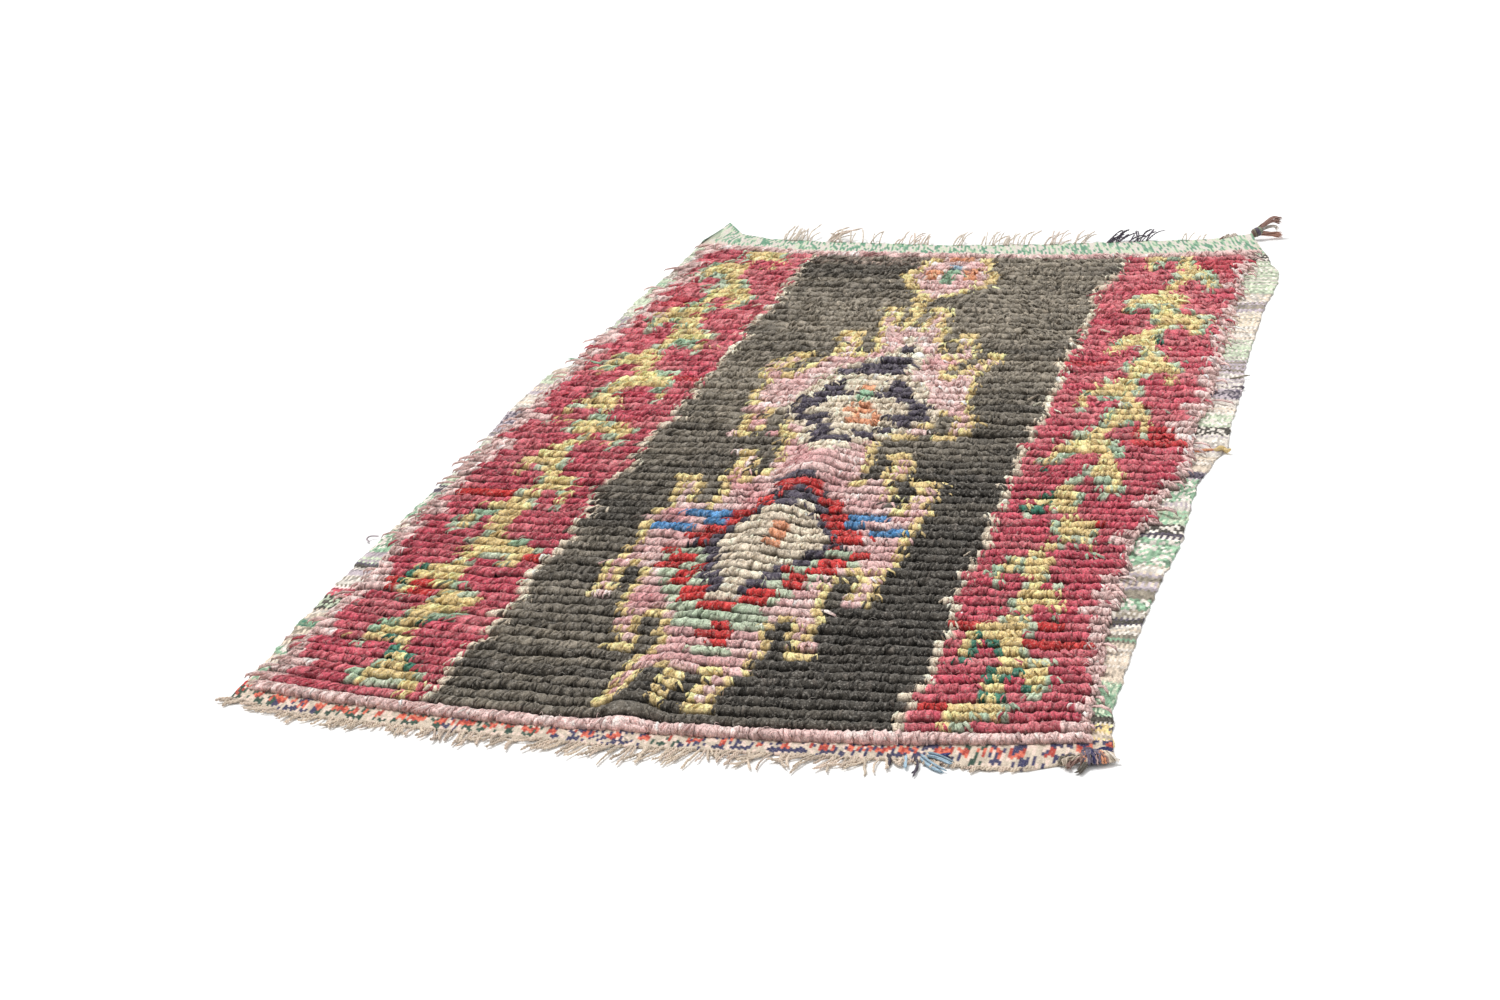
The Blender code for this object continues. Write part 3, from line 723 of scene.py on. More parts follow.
def knot_places(sizes):
    """x, near y, far y and width of every knot, row by knot. Knots are evenly spread between the lines
    of their border or half of the field."""
    rows = sizes.rows
    row = np.arange(rows)
    y = row_line(rows, row + 0.5, 0.0, sizes.first_pitch)
    left, right = along(PILE_SIDES, y, 1), along(PILE_SIDES, y, 2)
    line_left, middle, line_right = (along(COLUMN_LINES, y, c) for c in (1, 2, 3))
    half = LINE_WIDTH / 2
    stops = (
        left, line_left - half, line_left + half, middle, line_right - half, line_right + half, right
    )
    stops = np.stack(stops, 1)
    counts = (BORDER_KNOTS, 1, HALF_FIELD, HALF_FIELD, 1, BORDER_KNOTS)
    part = np.repeat(np.arange(6), counts)
    share = np.concatenate([(np.arange(n) + 0.5) / n for n in counts])
    x = stops[:, part] * (1 - share) + stops[:, part + 1] * share
    step = (stops[:, part + 1] - stops[:, part]) / np.array(counts)[part]
    near_y = row_line(rows, row[:, None], x, sizes.first_pitch)
    far_y = row_line(rows, row[:, None] + 1, x, sizes.first_pitch)
    parted = ripple(x * 0.35, row[:, None] * 0.31, 0.13, 90) - 0.75
    near_y = near_y + 0.007 * np.clip(parted, 0, 0.8) * np.clip((row[:, None] - 8) / 20, 0.2, 1)
    return x, near_y, far_y, step


def dye_table(dyes):
    """Red, green and blue of every dye, in the order of their numbers."""
    return np.array([tuple(getattr(dyes, name)) for name in DYES])


def wool_colours(code, y, x, row, table, draw):
    """Colour of each lock: its dye, greyer along the field towards the far end, with each row's
    own shade, each lock's own shade, painted shade in the hollow where the pile parts, and flecks
    of lighter and darker rag."""
    colour = table[code].copy()
    field = code == NUMBER["charcoal"]
    rows = np.random.default_rng(19)
    greying = np.clip((y + 0.62 - 0.5 * x) / 0.75, 0, 1) * 0.84 + 0.26 * ripple(x * 0.3, y, 0.16, 61)
    greying = greying + rows.normal(0, 0.15, 200)[row]
    # The near half of the field is greyer and lighter on the left and darker on the right
    greying = greying + 0.50 * np.clip(-x / 0.25, -0.6, 1) * np.clip(-y / 0.8, 0, 1)
    grey = np.clip(greying, 0, 1)[field][:, None]
    colour[field] = colour[field] * (1 - grey) + table[NUMBER["stone"]] * grey
    leaf = code == NUMBER["mint"]
    fresh = np.clip(0.25 + 0.45 * ripple(x, y, 0.1, 62), 0, 0.8) * np.where(np.abs(x) < 0.28, 0.3, 1.0)
    fresh = fresh[leaf][:, None]
    colour[leaf] = colour[leaf] * (1 - fresh) + table[NUMBER["leaf"]] * fresh
    shade = 1.06 + rows.normal(0, 0.06, 200)[row] + 0.08 * ripple(x, y, 0.09, 63)
    far = np.clip((y + 0.4) / 1.0, 0, 1)
    shade = shade + 0.07 * ripple(x * 0.5, y, 0.03, 65) + draw.normal(0, 1, len(code)) * (0.08 + 0.07 * far)
    # Painted shade in the hollow where the pile parts
    shade = shade * (1 - 0.55 * hollow(x, y))
    streak = np.clip(ripple(x * 5, row * 0.9, 2.6, 67) - 0.5, 0, 0.8)
    shade = shade * (1 - streak * np.where(field, 0.20 + 0.50 * far, 0))
    band = field & (x < 0.0) & (row >= DARK_ROW)
    shade = np.where(band & (row < BROWN_ROW), shade * 0.42, shade)
    colour = colour * np.clip(shade, 0.4, 1.6)[:, None]
    brown = band & (row >= BROWN_ROW) & (draw.random(len(code)) < 0.75)
    tan = table[NUMBER["bark"]] * 0.45 + table[NUMBER["beige"]] * 0.35
    colour[brown] = tan * draw.uniform(0.25, 1.25, (brown.sum(), 1))
    pink = (code == NUMBER["pink"]) & (np.abs(x) < 0.28) & (row > 0)
    deep = 0.20 + 0.34 * ripple(x * 1.4, y, 0.13, 66) + rows.normal(0, 0.12, 200)[row] - 0.12 * far
    colour[pink] *= 1 - np.clip(deep, 0, 0.8)[pink][:, None] * DEEP_PINK
    rose = code == NUMBER["rose"]
    faded = np.clip(0.10 + 0.20 * ripple(x, y * 2, 0.12, 64) + 0.14 * far, 0, 0.5)[rose][:, None]
    colour[rose] = colour[rose] * (1 - faded) + table[NUMBER["pink"]] * FADED_ROSE * faded
    scarlet = code == NUMBER["scarlet"]
    aged = 0.7 * far[scarlet][:, None]
    colour[scarlet] = colour[scarlet] * (1 - aged) + table[NUMBER["rose"]] * aged
    fleck = draw.random(len(code))
    wild = 0.06 + 0.08 * far
    light = fleck < wild
    dark = fleck > 1 - wild
    colour[light] = colour[light] * draw.uniform(1.05, 1.35, (light.sum(), 1)) + FLECK
    colour[dark] *= draw.uniform(0.50, 0.80, (dark.sum(), 1))
    return colour


def side_by_side(sizes, count):
    """Row, dye number, x, near y, far y and knot width of places side by side in each knot, all
    as rows of numbers, with each place's offset from the knot's middle as a share of its width."""
    x, near_y, far_y, step = knot_places(sizes)
    chart = whole_chart(sizes.rows)
    row = np.repeat(np.arange(sizes.rows), count * chart.shape[1])
    offset = np.tile((np.arange(count) + 0.5) / count - 0.5, chart.size)
    code, x, near_y, far_y, step = (
        np.repeat(a.ravel(), count) for a in (chart, x, near_y, far_y, step)
    )
    return row, code, x + offset * step, near_y, far_y, offset


def hollow(x, y):
    """1 in the middle of the hollow of the pile, falling away as a bell curve."""
    return np.exp(-((x - HOLLOW[0]) ** 2 + (y - HOLLOW[1]) ** 2) / HOLLOW[2] ** 2)


def tousle(x, y):
    """How loosely the pile lies, from orderly at the near end to tousled at the far end."""
    share = np.clip((y - TOUSLED_FROM) / TOUSLED_OVER, 0.0, 1)
    return np.clip(share + 0.25 * ripple(x, y, 0.3, 71), 0.05, 1)


def lean(x, y):
    """Angle in radians by which the pile turns from the rug's length, and how far it fans out: a
    slow swing, a turn away from the fold on both sides of it, and one outwards at the sides."""
    fold_x = x - along(FOLD, y)
    fan = along(FANNING, y) * np.exp(-np.abs(fold_x) / 0.036)
    edge = near(x, along(PILE_SIDES, y, 1), 0.02) - near(x, along(PILE_SIDES, y, 2), 0.02)
    yaw = 0.22 * ripple(x, y, 0.2, 72) - 0.34 * np.clip(-x / 0.3, -0.4, 1)
    return yaw + 0.80 * fan * np.tanh(fold_x / 0.008) - 0.15 * edge, fan


def creased(depth, x, y, wild, colour):
    """Painted shade by place and point, as a factor on the dye. The creases between rows get dark
    painted shade in orderly pile, paler the more tousled and the paler the pile is."""
    fill = 0.15 + 0.15 * ripple(x, y, 0.06, 84) + wild * (0.32 + 0.72 * colour.mean(1))
    return np.where(depth < 1, depth + (1 - depth) * np.clip(fill, 0, 0.85)[:, None], depth)


def swell(x, row):
    """How much higher or lower than the others a row stands at x."""
    return 0.12 * ripple(0.5 * x, 0.31 * row, 0.16, 85)


def notches(offset, x, row, wild):
    """How deep a place lies in the notch between two knots: 0 in the first two thirds of a knot,
    and in its last third by an uneven share that is largest in orderly pile."""
    uneven = np.clip(0.62 + 0.55 * ripple(x, 0.031 * row, 0.045, 86), 0, 1.2)
    return np.where(offset > 0.2, uneven, 0.0) * (1 - 0.60 * wild)


def open_ends(depth, row, rows, front, back):
    """Painted shade by place and point: the creases between rows get dark painted shade, but the front
    of the first row and the back of the last lie open and are painted nearly as light as the crowns."""
    light = (front & (row == 0)[:, None]) | (back & (row == rows - 1)[:, None])
    return np.where(light, 0.55 + 0.45 * depth, depth)


def rib_bodies(sizes, dyes):
    """Rings of the bodies of the rows, row by place by point by xyz, and their colours. Each row
    is a soft roll whose ring of seven points follows the lean of its knots, with creases between
    the knots and lumps from ripples of a few millimetres."""
    row, code, x, near_y, far_y, offset = side_by_side(sizes, RIB_COLUMNS)
    draw = np.random.default_rng(23)
    # depth is the painted shade on the dye: dark in the creases, a painted highlight at the crown
    share, climb, depth = np.array(RIB_RING).T
    yaw, fan = lean(x, near_y)
    wild = tousle(x, near_y)
    yaw = yaw + 0.14 * ripple(x, near_y, 0.02, 75)
    slip = wild * 0.0032 * ripple(x, near_y * 1.7, 0.024, 80)
    near_y, far_y = near_y + slip, far_y + slip
    notch = notches(offset, x, row, wild)
    length = (far_y - near_y)[:, None] * share
    px = x[:, None] + length * np.tan(np.clip(yaw, -1, 1))[:, None]
    py = far_y[:, None] - length + 0.0030 * notch[:, None] * share
    crest = np.clip(climb, 0, 1)
    px = px + 0.0010 * ripple(px, py, 0.011, 76) * crest
    py = py + (0.0011 * ripple(px, py, 0.013, 77) + draw.normal(0, 0.0004, px.shape)) * crest
    height = sizes.pile_height * (
        1.0 - 0.20 * notch + 0.07 * ripple(x, near_y, 0.05, 74) + 0.08 * fan + swell(x, row)
        + draw.normal(0, 1, len(x)) * (0.02 + 0.07 * wild)
    ) * (1 - HOLLOW_DEPTH * hollow(x, near_y))
    lumps = ripples(px, py, (0.0009, 0.010, 78), (0.0007, 0.0062, 79))
    side = np.minimum(x - along(PILE_SIDES, near_y, 1), along(PILE_SIDES, near_y, 2) - x)
    round_off = np.interp(side, (0.0, 0.012), (0.6, 1.0))[:, None]
    rise = height[:, None] * climb * round_off
    lumps = (lumps + draw.normal(0, 0.00035, px.shape)) * crest
    top = sizes.weave_height - ROOT_DEPTH + rise + lumps
    pz = lift(px, py) + np.maximum(top, 0.0012)
    colour = wool_colours(code, near_y, x, row, dye_table(dyes), draw)
    # Painted shade: the creases between rows are darkened, less where the pile is tousled and where it is
    # pale, and less at the open ends of the pile
    depth = creased(depth[None, :], x, near_y, wild, colour)
    depth = open_ends(depth, row, sizes.rows, share[None, :] > 0.8, share[None, :] < 0.3)
    # More painted shade in the notches between knots
    depth = depth * (1 - 0.42 * notch)[:, None]
    grain = 1 + draw.normal(0, 0.06, (len(x), len(share), 1))
    colour = colour[:, None, :] * depth[..., None] * grain
    shape = (sizes.rows, -1, len(share), 3)
    return np.stack([px, py, pz], 2).reshape(shape), colour.reshape(shape)


def ring_faces(count, stations, around, turned=False):
    """Corners and first corners of the faces of closed rolls of rings: four-sided faces between
    neighbouring rings and a flat face at each end. Turned faces look the other way."""
    base = np.arange(count)[:, None, None] * stations * around
    at = base + np.arange(stations - 1)[None, :, None] * around
    point = np.arange(around)[None, None, :]
    after = (point + 1) % around
    quads = np.stack([at + point, at + after, at + around + after, at + around + point], 3)
    caps = np.stack([base + point[..., ::-1], base + (stations - 1) * around + point])
    if turned:
        quads, caps = quads[..., ::-1], caps[..., ::-1]
    starts = np.append(4 * np.arange(quads.size // 4), quads.size + around * np.arange(2 * count))
    return np.concatenate([quads.ravel(), caps.ravel()]), starts


def rolls(name, rings, colours):
    """Closed rolls from rings of points, roll by ring by point by xyz. u runs along the roll and
    v round it."""
    count, stations, around, _ = rings.shape
    loops, starts = ring_faces(count, stations, around)
    u = rings[..., 0] + 0.37 * np.arange(count)[:, None, None]
    uv = np.stack([u.ravel(), run_along(rings).ravel()], 1)
    return place(rings.reshape(-1, 3), loops, starts, name, colours.reshape(-1, 3), uv[loops])


def lock_arrays(sizes, dyes):
    """Paths, radii and colours of all locks of the pile, three to a knot, and their rows. A lock
    leaves the weave under the row behind it, climbs to a rounded crown and rolls over at its tip
    in front. Locks are orderly at the near end and more and more tousled towards the far end."""
    row, code, x, near_y, far_y, offset = side_by_side(sizes, LOCKS)
    count = len(code)
    draw = np.random.default_rng(17)
    stray = draw.random(count) < 0.012
    code = np.where(stray, np.roll(code, LOCKS), code)
    x = x + draw.normal(0, 0.0010, count)
    wild = tousle(x, near_y)
    yaw, fan = lean(x, near_y)
    yaw = yaw + 0.24 * wild * ripple(x, near_y * 1.5, 0.035, 82)
    yaw = np.clip(yaw + draw.normal(0, 1, count) * (0.26 + 0.04 * wild), -1.0, 1.0)
    base_y = far_y + 0.0010 - draw.uniform(0, 1, count) * (0.10 + 0.22 * wild) * (far_y - near_y)
    notch = notches(offset, x, row, wild)
    front = near_y + 0.0008 + 0.0030 * notch + draw.normal(0, 1, count) * (0.0010 + 0.0017 * wild)
    length = np.maximum(base_y - front, 0.010) * (1 - 0.15 * fan)
    t = np.array([LOCK_SHARES])
    height = sizes.pile_height * (
        1 + 0.07 * ripple(x, near_y, 0.05, 74) + draw.normal(0, 1, count) * (0.06 + 0.08 * wild)
        + 0.10 * fan + swell(x, row) - 0.15 * notch
    ) * (1 - HOLLOW_DEPTH * hollow(x, near_y))
    curl = draw.normal(0, 1, count)[:, None] * (0.0010 + 0.0022 * wild[:, None])
    phase = draw.uniform(0, 2 * np.pi, count)[:, None]
    px = x[:, None] + length[:, None] * t * np.tan(yaw)[:, None] + curl * np.sin(np.pi * t)
    px = px + 0.0009 * np.sin(2.6 * np.pi * t + phase) - (0.0018 * offset * (1 - 0.5 * wild))[:, None] * t
    py = base_y[:, None] - length[:, None] * t
    sway = 0.0005 * np.cos(2.6 * np.pi * t + phase) + 0.0006 * draw.normal(0, 1, (count, 1)) * t**2
    climb = height[:, None] * np.array(LOCK_CLIMB)
    pz = lift(px, py) + sizes.weave_height - ROOT_DEPTH + climb + sway
    bulk = np.exp(draw.normal(-0.03, 0.14, (count, 1))) * (1 - 0.16 * wild[:, None])
    radii = sizes.lock_radius * np.array(LOCK_THICKNESS) * bulk
    radii = radii * (1 + draw.normal(0, 0.07, radii.shape))
    colour = wool_colours(code, near_y, x, row, dye_table(dyes), draw)
    # Painted shade and highlight along each lock, with more painted shade in the notches between knots; the
    # creases between rows are darkened, less at the open ends of the pile
    depth = along(LOCK_PAINTED_SHADING, t) * (1 - 0.20 * notch)[:, None]
    depth = creased(depth, x, near_y, wild, colour)
    depth = open_ends(depth, row, sizes.rows, t > 0.7, t < 0.4)
    colour = colour[:, None, :] * depth[..., None] * (1 + draw.normal(0, 0.07, (count, 5, 1)))
    return np.stack([px, py, pz], 2), radii, colour, row


def node_group(name, inputs, outputs):
    """An empty shader node group with the named inputs, their kinds and values, and outputs, and
    the sockets inside it."""
    tree = bpy.data.node_groups.new(name, "ShaderNodeTree")
    for label, kind, value in inputs:
        socket = tree.interface.new_socket(label, in_out="INPUT", socket_type="NodeSocket" + kind)
        if value is not None:
            socket.default_value = value
    for label, kind in outputs:
        tree.interface.new_socket(label, in_out="OUTPUT", socket_type="NodeSocket" + kind)
    return tree, tree.nodes.new("NodeGroupInput").outputs, tree.nodes.new("NodeGroupOutput").inputs


def fill(tree, node, inputs):
    """Links the inputs of a node, or gives them values."""
    for socket, value in dict(inputs).items():
        if isinstance(value, bpy.types.NodeSocket):
            tree.links.new(value, node.inputs[socket])
        else:
            node.inputs[socket].default_value = value
    return node


def add_node(tree, kind, inputs=(), **settings):
    """A new shader node with its settings and inputs."""
    node = tree.nodes.new("ShaderNode" + kind)
    for name, value in settings.items():
        setattr(node, name, value)
    return fill(tree, node, inputs)


def maths(tree, how, *values):
    """Result of a calculation in a shader tree."""
    return add_node(tree, "Math", enumerate(values), operation=how).outputs[0]


def fibre_group():
    """Fibre grain along a strand: noise stretched along v, as a shade around 1 and a height."""
    tree, enter, leave = node_group(
        "Fibre grain",
        (("Vector", "Vector", None), ("Across", "Float", 900.0), ("Along", "Float", 130.0),
         ("Contrast", "Float", 0.5)),
        (("Shade", "Float"), ("Height", "Float")),
    )
    split = add_node(tree, "SeparateXYZ", {0: enter["Vector"]}).outputs
    across = maths(tree, "MULTIPLY", split[0], enter["Across"])
    length = maths(tree, "MULTIPLY", split[1], enter["Along"])
    join = add_node(tree, "CombineXYZ", {0: across, 1: length})
    noise = add_node(tree, "TexNoise", {"Vector": join.outputs[0], "Scale": 1.0, "Detail": 2.0})
    middle = maths(tree, "SUBTRACT", noise.outputs["Fac"], 0.5)
    tree.links.new(maths(tree, "MULTIPLY_ADD", middle, enter["Contrast"], 1.0), leave["Shade"])
    tree.links.new(noise.outputs["Fac"], leave["Height"])
    return tree


def heather_group():
    """Heathering: a dye swings lighter and darker with noise in the object's own space, times a
    shade, and the peaks of finer noise are paler specks of rag."""
    tree, enter, leave = node_group(
        "Heathering",
        (("Color", "Color", (0.5, 0.5, 0.5, 1)), ("Vector", "Vector", None), ("Shade", "Float", 1.0),
         ("Scale", "Float", 330.0), ("Amount", "Float", 0.5), ("Specks", "Float", 0.3)),
        (("Color", "Color"), ("Height", "Float")),
    )
    noise = add_node(tree, "TexNoise", {
        "Vector": enter["Vector"], "Scale": enter["Scale"], "Detail": 2.0, "Roughness": 0.65,
    })
    swing = maths(tree, "SUBTRACT", noise.outputs["Fac"], 0.5)
    swing = maths(tree, "MULTIPLY_ADD", swing, enter["Amount"], 1.0)
    value = maths(tree, "MULTIPLY", maths(tree, "MAXIMUM", swing, 0.3), enter["Shade"])
    dyed = add_node(tree, "VectorMath", {0: enter["Color"], "Scale": value}, operation="SCALE")
    finer = maths(tree, "MULTIPLY", enter["Scale"], 0.83)
    fine = add_node(tree, "TexNoise", {"Vector": enter["Vector"], "Scale": finer, "Detail": 1.0})
    peak = maths(tree, "MULTIPLY", maths(tree, "SUBTRACT", fine.outputs["Fac"], 0.56), 9.0)
    peak = maths(tree, "MINIMUM", maths(tree, "MAXIMUM", peak, 0.0), 1.0)
    share = maths(tree, "MULTIPLY", peak, enter["Specks"])
    pale = add_node(
        tree, "Mix", {"Factor": share, "A": dyed.outputs[0], "B": PALE_SPECK}, data_type="RGBA"
    )
    tree.links.new(pale.outputs["Result"], leave["Color"])
    tree.links.new(noise.outputs["Fac"], leave["Height"])
    return tree


def yarn_material(name):
    """Dyed yarn or rag: the piece's dye attribute, which also holds the painted shade and highlight of
    the pile and the painted shade of the flat weave, through fibre grain on its strand map and
    heathering in the object's own space, with both as fine relief."""
    across, length, contrast, scale, amount, speckled, bump, sheen = YARNS[name]
    groups = bpy.data.node_groups
    material = bpy.data.materials.new(name)
    material.use_nodes = True
    tree = material.node_tree
    dyed = add_node(tree, "Attribute", attribute_name="dye")
    strand = add_node(tree, "UVMap", uv_map="strand")
    space = add_node(tree, "TexCoord")
    grain = add_node(tree, "Group", node_tree=groups.get("Fibre grain") or fibre_group())
    fill(tree, grain, {
        "Vector": strand.outputs["UV"], "Across": across, "Along": length, "Contrast": contrast,
    })
    specks = add_node(tree, "Group", node_tree=groups.get("Heathering") or heather_group())
    fill(tree, specks, {
        "Color": dyed.outputs["Color"], "Vector": space.outputs["Object"],
        "Shade": grain.outputs["Shade"], "Scale": scale, "Amount": amount, "Specks": speckled,
    })
    height = maths(tree, "ADD", grain.outputs["Height"], specks.outputs["Height"])
    relief = add_node(tree, "Bump", {"Distance": bump, "Strength": 1.0, "Height": height})
    fill(tree, tree.nodes["Principled BSDF"], {
        "Base Color": specks.outputs["Color"], "Roughness": 0.95, "Specular IOR Level": 0.15,
        "Sheen Weight": sheen, "Sheen Roughness": 0.6, "Normal": relief.outputs["Normal"],
    })
    return material


def finish_piece(piece, yarn, node):
    """Gives a piece its material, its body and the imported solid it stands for."""
    piece.data.materials.append(bpy.data.materials.get(yarn) or yarn_material(yarn))
    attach(piece, "root")
    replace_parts(piece, node)


def kit(context, seed):
    """Sizes, table of dyes and a seeded draw."""
    scene = context.scene
    return scene.rug_sizes, dye_table(scene.rug_dyes), np.random.default_rng(seed)


def joined(parts):
    """Arrays of several groups of yarns, one after the other."""
    return [np.concatenate(group) for group in zip(*parts)]


class RUG_OT_ribs(bpy.types.Operator):
    """Lays the soft bodies of the rows in four bands"""

    bl_idname = "rug.ribs"
    bl_label = "Bodies of the rows"

    def execute(self, context):
        rings, colours = rib_bodies(context.scene.rug_sizes, context.scene.rug_dyes)
        for number, band in enumerate(np.array_split(np.arange(len(rings)), PILE_BANDS), 1):
            piece = rolls(f"pile_rows_{number}", rings[band], colours[band])
            finish_piece(piece, "Pile wool", "rug_cloth")
        return {"FINISHED"}


class RUG_OT_pile(bpy.types.Operator):
    """Ties the locks of the knotted pile in four bands of rows"""

    bl_idname = "rug.pile"
    bl_label = "Knotted pile"

    def execute(self, context):
        sizes = context.scene.rug_sizes
        paths, radii, colour, row = lock_arrays(sizes, context.scene.rug_dyes)
        for number, band in enumerate(np.array_split(np.arange(sizes.rows), PILE_BANDS), 1):
            part = (row >= band[0]) & (row <= band[-1])
            name = f"pile_band_{number}"
            piece = tubes(name, paths[part], radii[part], colour[part], 3, 0.9, 0.0003)
            finish_piece(piece, "Pile wool", "rug_cloth")
        return {"FINISHED"}


class RUG_OT_stray_fibres(bpy.types.Operator):
    """Scatters thin stray fibres over the pile"""

    bl_idname = "rug.stray_fibres"
    bl_label = "Stray fibres"

    def execute(self, context):
        sizes, table, draw = kit(context, 91)
        _, code, x, near_y, far_y, _ = side_by_side(sizes, 1)
        count = STRAY_FIBRES
        picks = draw.choice(len(x), count, replace=False)
        turn = draw.normal(0, 0.7, count) + np.pi * draw.integers(0, 2, count)
        length = draw.uniform(0.006, 0.020, count)
        t = np.linspace(-0.5, 0.5, FIBRE_POINTS)[None, :]
        turn = turn[:, None] + draw.normal(0, 0.8, (count, 1)) * t
        y = near_y + (far_y - near_y) * draw.uniform(0.1, 0.6, len(x))
        px = x[picks, None] + length[:, None] * t * np.cos(turn)
        py = y[picks, None] + length[:, None] * t * np.sin(turn)
        arch = draw.uniform(0.0015, 0.0045, (count, 1)) * np.cos(np.pi * t) - 0.003 * np.abs(t)
        pz = lift(px, py) + sizes.weave_height + 1.02 * sizes.pile_height + arch
        colour = 0.75 * table[code[picks]] + 0.25 * table[NUMBER["bone"]]
        shade = draw.uniform(0.8, 1.3, (count, 1, 1)) * np.ones((1, FIBRE_POINTS, 1))
        radii = draw.uniform(0.00025, 0.00045, (count, 1)) * np.ones((1, FIBRE_POINTS - 2))
        paths = np.stack([px, py, pz], 2)
        piece = tubes("stray_fibres", paths, radii, colour[:, None, :] * shade, 3)
        finish_piece(piece, "Pile wool", "rug_cloth")
        return {"FINISHED"}


def bead_numbers(a, b):
    """Warp and weft that show at a place in warps and wefts: wefts pass over every other warp,
    so where a weft is under, half of the one before and half of the one after cover it."""
    warp, weft = np.floor(a).astype(int), np.floor(b).astype(int)
    over = (warp + weft) % 2 == 0
    return warp, np.where(over, weft, np.where(b - weft < 0.5, weft - 1, weft + 1))


def slab(name, x, y, a, b, colour, sizes, seed):
    """Flat weave as a closed slab: stations by places across. Its top is the cloth's height plus
    sin(pi a) sin(pi b), the beads of the wefts over the warps, and a slow pucker. The last place
    across is the outer edge, which rolls under to a flat underside."""
    ground = lift(x, y)
    top = ground + sizes.weave_height + sizes.weave_relief * np.sin(np.pi * a) * np.sin(np.pi * b)
    top = top + 0.0007 * ripple(x, y, 0.035, seed)
    surface = np.stack([x, y, top], 2)
    out = surface[:, -1, :2] - surface[:, -2, :2]
    out = out / np.linalg.norm(out, axis=1, keepdims=True)
    lip = np.column_stack([
        surface[:, -1, :2] + LIP * out, ground[:, -1] + 0.55 * sizes.weave_height
    ])
    under_out = np.column_stack([surface[:, -1, :2], ground[:, -1] + GUARD])
    under_in = np.column_stack([surface[:, 0, :2], ground[:, 0] + GUARD])
    ring = np.concatenate([surface, lip[:, None], under_out[:, None], under_in[:, None]], 1)
    tone = np.concatenate([colour, colour[:, -1:], colour[:, -1:], colour[:, :1]], 1)
    across, ahead = ring[1, 1] - ring[1, 0], ring[2, 1] - ring[1, 1]
    turned = across[0] * ahead[1] < across[1] * ahead[0]
    loops, starts = ring_faces(1, *ring.shape[:2], turned)
    flat = ring[..., :2].reshape(-1, 2)
    return place(ring.reshape(-1, 3), loops, starts, name, tone.reshape(-1, 3), flat[loops])


# Bands of the flat-woven sides, from the near end: length in millimetres, first dye, second dye,
# way of mixing
LEFT_BANDS = (
    (30, "beige", "scarlet", "specks"), (45, "leaf", "bone", "specks"),
    (30, "beige", "bone", "lines"), (35, "leaf", "bone", "specks"),
    (55, "beige", "stone", "specks"), (30, "leaf", "teal", "specks"),
    (30, "bone", "beige", "lines"), (50, "charcoal", "mint", "specks"),
    (35, "rose", "pink", "lines"), (30, "bone", "stone", "lines"),
    (30, "lavender", "bone", "lines"), (20, "charcoal", "plum", "lines"),
    (40, "lavender", "mint", "lines"), (90, "leaf", "bone", "specks"),
    (45, "bone", "beige", "lines"), (110, "leaf", "bone", "specks"),
    (30, "plum", "bone", "lines"), (60, "mint", "bone", "specks"),
    (40, "bone", "lavender", "lines"), (80, "leaf", "bone", "specks"),
    (50, "bone", "mint", "lines"), (60, "lavender", "stone", "lines"),
    (70, "lavender", "plum", "specks"), (90, "bone", "beige", "lines"),
    (50, "lavender", "beige", "lines"), (60, "mint", "bone", "lines"),
    (120, "bone", "beige", "lines"), (60, "beige", "stone", "lines"),
    (90, "bone", "lavender", "lines"), (80, "lavender", "mint", "specks"),
    (190, "mint", "bone", "lines"), (80, "mint", "leaf", "lines"),
    (60, "bone", "stone", "lines"), (200, "mint", "bone", "specks"),
)
RIGHT_BANDS = (
    (28, "beige", "yellow", "lines"), (22, "yellow", "plum", "specks"),
    (20, "charcoal", "bone", "lines"), (95, "leaf", "mint", "specks"),
    (110, "beige", "bone", "lines"), (30, "stone", "leaf", "lines"),
    (30, "bone", "beige", "lines"), (18, "plum", "charcoal", "lines"),
    (25, "bone", "stone", "specks"), (40, "leaf", "bone", "specks"),
    (28, "stone", "charcoal", "lines"), (30, "lavender", "beige", "lines"),
    (26, "stone", "lavender", "lines"), (30, "bone", "beige", "lines"),
    (100, "leaf", "bone", "specks"), (20, "bone", "plum", "lines"),
    (30, "charcoal", "bone", "specks"), (60, "mint", "leaf", "specks"),
    (30, "bone", "lavender", "lines"), (100, "leaf", "bone", "specks"),
    (30, "plum", "lavender", "lines"), (70, "beige", "bone", "lines"),
    (90, "bone", "lavender", "lines"), (40, "charcoal", "bone", "specks"),
    (60, "mint", "bone", "specks"), (80, "bone", "beige", "lines"),
    (50, "lavender", "plum", "specks"), (80, "bone", "lavender", "lines"),
    (70, "lavender", "stone", "lines"), (120, "mint", "bone", "lines"),
    (80, "bone", "beige", "lines"), (90, "cream", "bone", "lines"),
    (60, "lavender", "stone", "lines"), (60, "bone", "beige", "specks"),
    (220, "mint", "bone", "lines"), (50, "charcoal", "bone", "specks"),
    (200, "mint", "leaf", "specks"),
)


def bead_colours(warp, weft, first, second, speckled, draw):
    """Colour of each bead of flat weave. Speckled bands draw a dye for each bead, and lined ones
    for each weft. Each bead has its own shade as well."""
    beads = draw.random((warp.max() - warp.min() + 1, weft.max() - weft.min() + 1))
    lines = draw.random(weft.max() - weft.min() + 1)
    shades = 1 + 0.15 * draw.normal(0, 1, beads.shape) + 0.10 * draw.normal(0, 1, beads.shape[1])
    # Some wefts are darker all along: painted shade for the gaps between wefts
    shades = np.where(draw.random(beads.shape[1]) < 0.08, shades * 0.62, shades)
    w, b = warp - warp.min(), weft - weft.min()
    pick = np.where(speckled, beads[w, b] < 0.40, lines[b] < 0.30)
    shades = shades * (1 - 0.34 * (beads > 0.74))
    colour = np.where(pick[..., None], second, first)
    return colour * np.clip(shades[w, b], 0.4, 1.35)[..., None]


